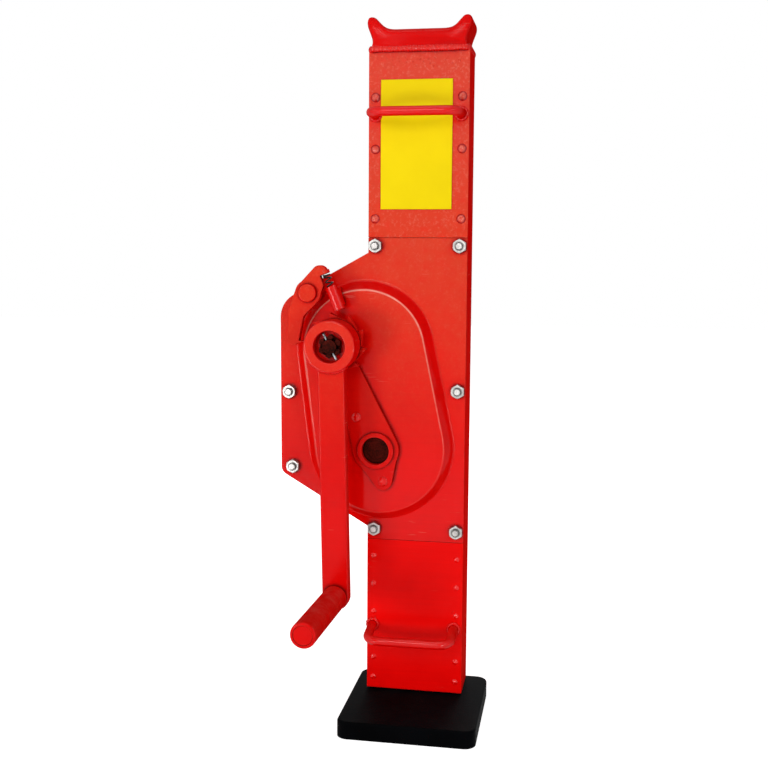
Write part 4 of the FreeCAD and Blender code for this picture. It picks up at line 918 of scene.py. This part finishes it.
# %% Outline of the head
# x and height of the right half in mm; a corner that is given twice is rounded less
HEAD_HALF = np.array([
    (49.4, 0.0), (49.4, 0.0), (49.0, 4.0), (48.2, 9.5), (50.6, 16.5), (53.5, 23.5), (53.4, 29.0),
    (51.2, 32.8), (45.6, 32.8), (42.0, 29.0), (36.6, 23.6), (30.0, 20.8), (16.0, 20.8)])
HEAD_CUTS = 3


def cut_corners(corners, times):
    """Each side of the closed outline keeps its points at 1/4 and 3/4, some times over."""
    for _ in range(times):
        ahead = np.roll(corners, -1, 0)
        near, far = 0.75 * corners + 0.25 * ahead, 0.25 * corners + 0.75 * ahead
        corners = np.stack([near, far], 1).reshape(-1, 2)
    return corners


outline = cut_corners(np.vstack([HEAD_HALF, HEAD_HALF[::-1] * [-1, 1]]), HEAD_CUTS)
outline_tangent = np.roll(outline, -1, 0) - np.roll(outline, 1, 0)
outline_tangent /= np.linalg.norm(outline_tangent, axis=1)[:, None]
outline_normal = np.stack([outline_tangent[:, 1], -outline_tangent[:, 0]], -1)
print("outline of the head", len(outline), "points")

# %% Forged head
HEAD_ROUND, TIP_ROUND, SEAT_ROUND, HEAD_ROUND_DEPTH = 3.2, 1.5, 6.0, 8.0
# spans in mm: the first of minus the distance from the middle, the others of the height
SEAT_INWARDS, SEAT_RISE, TIP_RISE, FOOT_RISE = (-44, -32), (10, 18), (20, 28), (0, 8)
ROUND_ROWS = 9


def smooth_step(value, low, high):
    """0 below low, 1 above high and 3s^2 - 2s^3 between them."""
    share = np.clip((value - low) / (high - low), 0, 1)
    return share * share * (3 - 2 * share)


outline_x, outline_z = outline.T
on_seat = smooth_step(-np.abs(outline_x), *SEAT_INWARDS) * smooth_step(outline_z, *SEAT_RISE)
on_tip = smooth_step(outline_z, *TIP_RISE)
draw_in = HEAD_ROUND + (SEAT_ROUND - HEAD_ROUND) * on_seat
draw_in = smooth_step(outline_z, *FOOT_RISE) * (draw_in + (TIP_ROUND - draw_in) * on_tip)
quarter = np.linspace(0, np.pi / 2, ROUND_ROWS)
shrink = (1 - np.sin(quarter))[:, None] * draw_in
half_rows = outline[None] - shrink[..., None] * outline_normal[None]
half_y = head_low[1] + HEAD_ROUND_DEPTH * (1 - np.cos(quarter))
rows = np.concatenate([half_rows, half_rows[::-1]])
rows_y = np.concatenate([half_y, -half_y[::-1]])[:, None] * np.ones(len(outline))
head_grid = np.stack([rows[..., 0], rows_y, rows[..., 1] + head_low[2]], -1)
head_points = head_grid.reshape(-1, 3) * MM
around = np.arange(len(outline))
head_ends = np.stack([around[::-1], len(head_points) - len(outline) + around])
head_faces = [tube_quads(len(rows), len(outline), False), head_ends]
forged_head = add_piece("forged_head", head_points, head_faces, red_head, "housing")
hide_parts("lifting_head")
print("head", len(head_points), "points")

# %% [markdown]
# Each handle leg stands in a ring of weld. A ring is the same bead on a circle that lies on the
# plate.

# %% Handle welds
BAR_RADIUS, FRONT = 4.75, -25.0
LEG_RING, LEG_BEAD, RING_POINTS = 5.6, 1.7, 96


def leg_ring(name, x, z):
    """Bead on a circle in the front plate's plane, between the radial direction and outward y."""
    t = np.linspace(0, 2 * np.pi, RING_POINTS, endpoint=False)
    radial = np.stack([np.cos(t), np.zeros_like(t), np.sin(t)], -1)
    out = np.tile([0.0, -1.0, 0.0], (len(t), 1))
    path = np.array([x, FRONT, z]) + LEG_RING * radial
    return bead(name, path, radial, out, LEG_BEAD, LEG_BEAD, "housing")


for handle_node in ("upper_handle", "lower_handle"):
    low, high = in_mm(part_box(handle_node))
    for side_name, leg_x in (("left", low[0] + BAR_RADIUS), ("right", high[0] - BAR_RADIUS)):
        leg_ring(f"{handle_node}_{side_name}_weld", leg_x, high[2] - BAR_RADIUS)
        print("leg weld", handle_node, side_name)

# %% [markdown]
# The arm is welded into the hub all round. The path is a rectangle that is wrapped on the hub's
# drum: across the arm it runs by angle, and through its thickness by depth.

# %% Arm weld
CRANK_X, CRANK_Z, HUB_RADIUS = -79.094, 396.208, 26.3
ARM_MIDDLE, ARM_HALF_DEPTH, ARM_HALF_WIDTH = -77.0, 6.0, 14.0
ARM_ANGLE = math.radians(1.2 - 90)
ARM_GAP, ARM_CORNER, ARM_STEP, ARM_BEAD = 0.3, 2.5, 0.4, 1.5
wrap, wrap_out = rectangle_loop(ARM_HALF_WIDTH + ARM_GAP, ARM_HALF_DEPTH + ARM_GAP, ARM_CORNER,
                                ARM_STEP)
wrap_turn = ARM_ANGLE + np.arcsin(wrap[:, 0] / HUB_RADIUS)
wrap_radial = np.stack([np.cos(wrap_turn), np.zeros(len(wrap)), np.sin(wrap_turn)], -1)
wrap_sideways = np.stack([-np.sin(wrap_turn), np.zeros(len(wrap)), np.cos(wrap_turn)], -1)
depth_way = np.array([0.0, 1.0, 0.0])
arm_root = np.array([CRANK_X, ARM_MIDDLE, CRANK_Z])
wrap_path = arm_root + HUB_RADIUS * wrap_radial + np.outer(wrap[:, 1], depth_way)
wrap_across = wrap_out[:, :1] * wrap_sideways + wrap_out[:, 1:] * depth_way
arm_bead = bead("arm_weld_bead", wrap_path, wrap_across, wrap_radial, ARM_BEAD, ARM_BEAD, "crank")
print("arm bead", len(arm_bead.data.vertices), "points")

# %% [markdown]
# ## Spatter
# Welding throws small drops of steel that stay on the plate under the paint. Each is a low dome of
# a few faces; all of them are one mesh, made by adding one dome's points to a list of places.

# %% Dome of a drop
DROP_SIDES, DROP_RISE = 8, 0.6
DROP_RINGS = np.array([-0.35, 0.35, 0.95])


def spatter(name, centres, radii, body):
    """Domes: centre + radius (cos a cos b, sin a cos b) across and rise sin b towards -y."""
    a = np.linspace(0, 2 * np.pi, DROP_SIDES, endpoint=False)
    ring_y = np.outer(-DROP_RISE * np.sin(DROP_RINGS), np.ones(DROP_SIDES))
    ring_x, ring_z = (np.outer(np.cos(DROP_RINGS), across) for across in (np.cos(a), np.sin(a)))
    rings = np.stack([ring_x, ring_y, ring_z], -1).reshape(-1, 3)
    dome = np.vstack([rings, [0, -DROP_RISE, 0]])
    points = (centres[:, None, :] + radii[:, None, None] * dome).reshape(-1, 3) * MM
    j = np.arange(DROP_SIDES)
    upper = len(rings) - DROP_SIDES
    tops = np.stack([upper + j, upper + (j + 1) % DROP_SIDES, np.full(DROP_SIDES, len(rings))], -1)
    shift = len(dome) * np.arange(len(centres))[:, None, None]
    walls = (tube_quads(len(DROP_RINGS), DROP_SIDES, False) + shift).reshape(-1, 4)
    floors = (j[::-1] + shift).reshape(-1, DROP_SIDES)
    faces = [walls, (tops + shift).reshape(-1, 3), floors]
    return add_piece(name, points, faces, red_spatter, body)


print("a drop has", DROP_SIDES, "sides")

# %% Places of the drops
SEAM_DROPS, SEAM_REACH, SEAM_TOP, SEAM_FALL = 46, 46, 687, 6
LEG_DROPS, LEG_SPREAD_X, LEG_SPREAD_Z = 9, 4.0, 9.0
LEGS_X, LEGS_Z, PLATE_HALF = (-44.0, 43.0), (629.0, 91.0), 49.5
DROP_SIZES = (0.35, 0.9)
drops = np.random.default_rng(11)
seam_x = drops.uniform(-SEAM_REACH, SEAM_REACH, SEAM_DROPS)
seam_z = SEAM_TOP - np.abs(drops.normal(0, SEAM_FALL, SEAM_DROPS))
near_seam = np.column_stack([seam_x, np.full(SEAM_DROPS, FRONT), seam_z])
legs = np.array([(x, FRONT, z) for x in LEGS_X for z in LEGS_Z])
leg_count = len(legs) * LEG_DROPS
stray_x = drops.normal(0, LEG_SPREAD_X, leg_count)
stray_z = drops.normal(0, LEG_SPREAD_Z, leg_count)
stray = np.column_stack([stray_x, np.zeros(leg_count), stray_z])
near_legs = np.repeat(legs, LEG_DROPS, axis=0) + stray
near_legs = near_legs[np.abs(near_legs[:, 0]) < PLATE_HALF]
places = np.vstack([near_seam, near_legs])
spatter("weld_spatter", places, drops.uniform(*DROP_SIZES, len(places)), "housing")
print("drops", len(places))

# %% [markdown]
# ## Pawl spring
# The spring between the tube and the pawl's horn is a helix of round wire with closed end coils.
# Its profile is carried along the helix.

# %% Pawl spring
SPRING_FOOT = np.array([-75.594, -54.0, 431.808])
SPRING_LEAN = math.radians(111.6)
SPRING_START, SPRING_END = 2.5, 37.9
COIL_RADIUS, WIRE_RADIUS, TURNS = 3.5, 0.8, 8.0
COIL_POINTS, WIRE_SIDES, END_COIL_SHARE = 300, 10, 0.055
spring_axis = np.array([math.cos(SPRING_LEAN), 0.0, math.sin(SPRING_LEAN)])
spring_side = np.array([-math.sin(SPRING_LEAN), 0.0, math.cos(SPRING_LEAN)])
spring_front = np.array([0.0, -1.0, 0.0])


def helix(turns, start, stop, count):
    """Angle and height of a coil: one flat turn at each end and an even rise between them."""
    angle = np.linspace(0, 2 * np.pi * turns, count)
    bends = [0, 2 * np.pi, 2 * np.pi * (turns - 1), 2 * np.pi * turns]
    share = np.interp(angle, bends, [0, END_COIL_SHARE, 1 - END_COIL_SHARE, 1])
    return angle, start + share * (stop - start)


coil_turn, coil_height = helix(TURNS, SPRING_START, SPRING_END, COIL_POINTS)
coil_out = np.outer(np.cos(coil_turn), spring_side) + np.outer(np.sin(coil_turn), spring_front)
coil_path = SPRING_FOOT + np.outer(coil_height, spring_axis) + COIL_RADIUS * coil_out
coil_up = np.tile(spring_axis, (len(coil_turn), 1))
wire_size = np.full(len(coil_turn), WIRE_RADIUS * MM)
spring_points, spring_faces = sweep(coil_path * MM, coil_out, coil_up, wire_size, wire_size,
                                    WIRE_SIDES)
pawl_spring = add_piece("pawl_coil_spring", spring_points, spring_faces, black_steel, None)
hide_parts("pawl_spring")
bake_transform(pawl_spring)
print("spring", len(spring_points), "points")
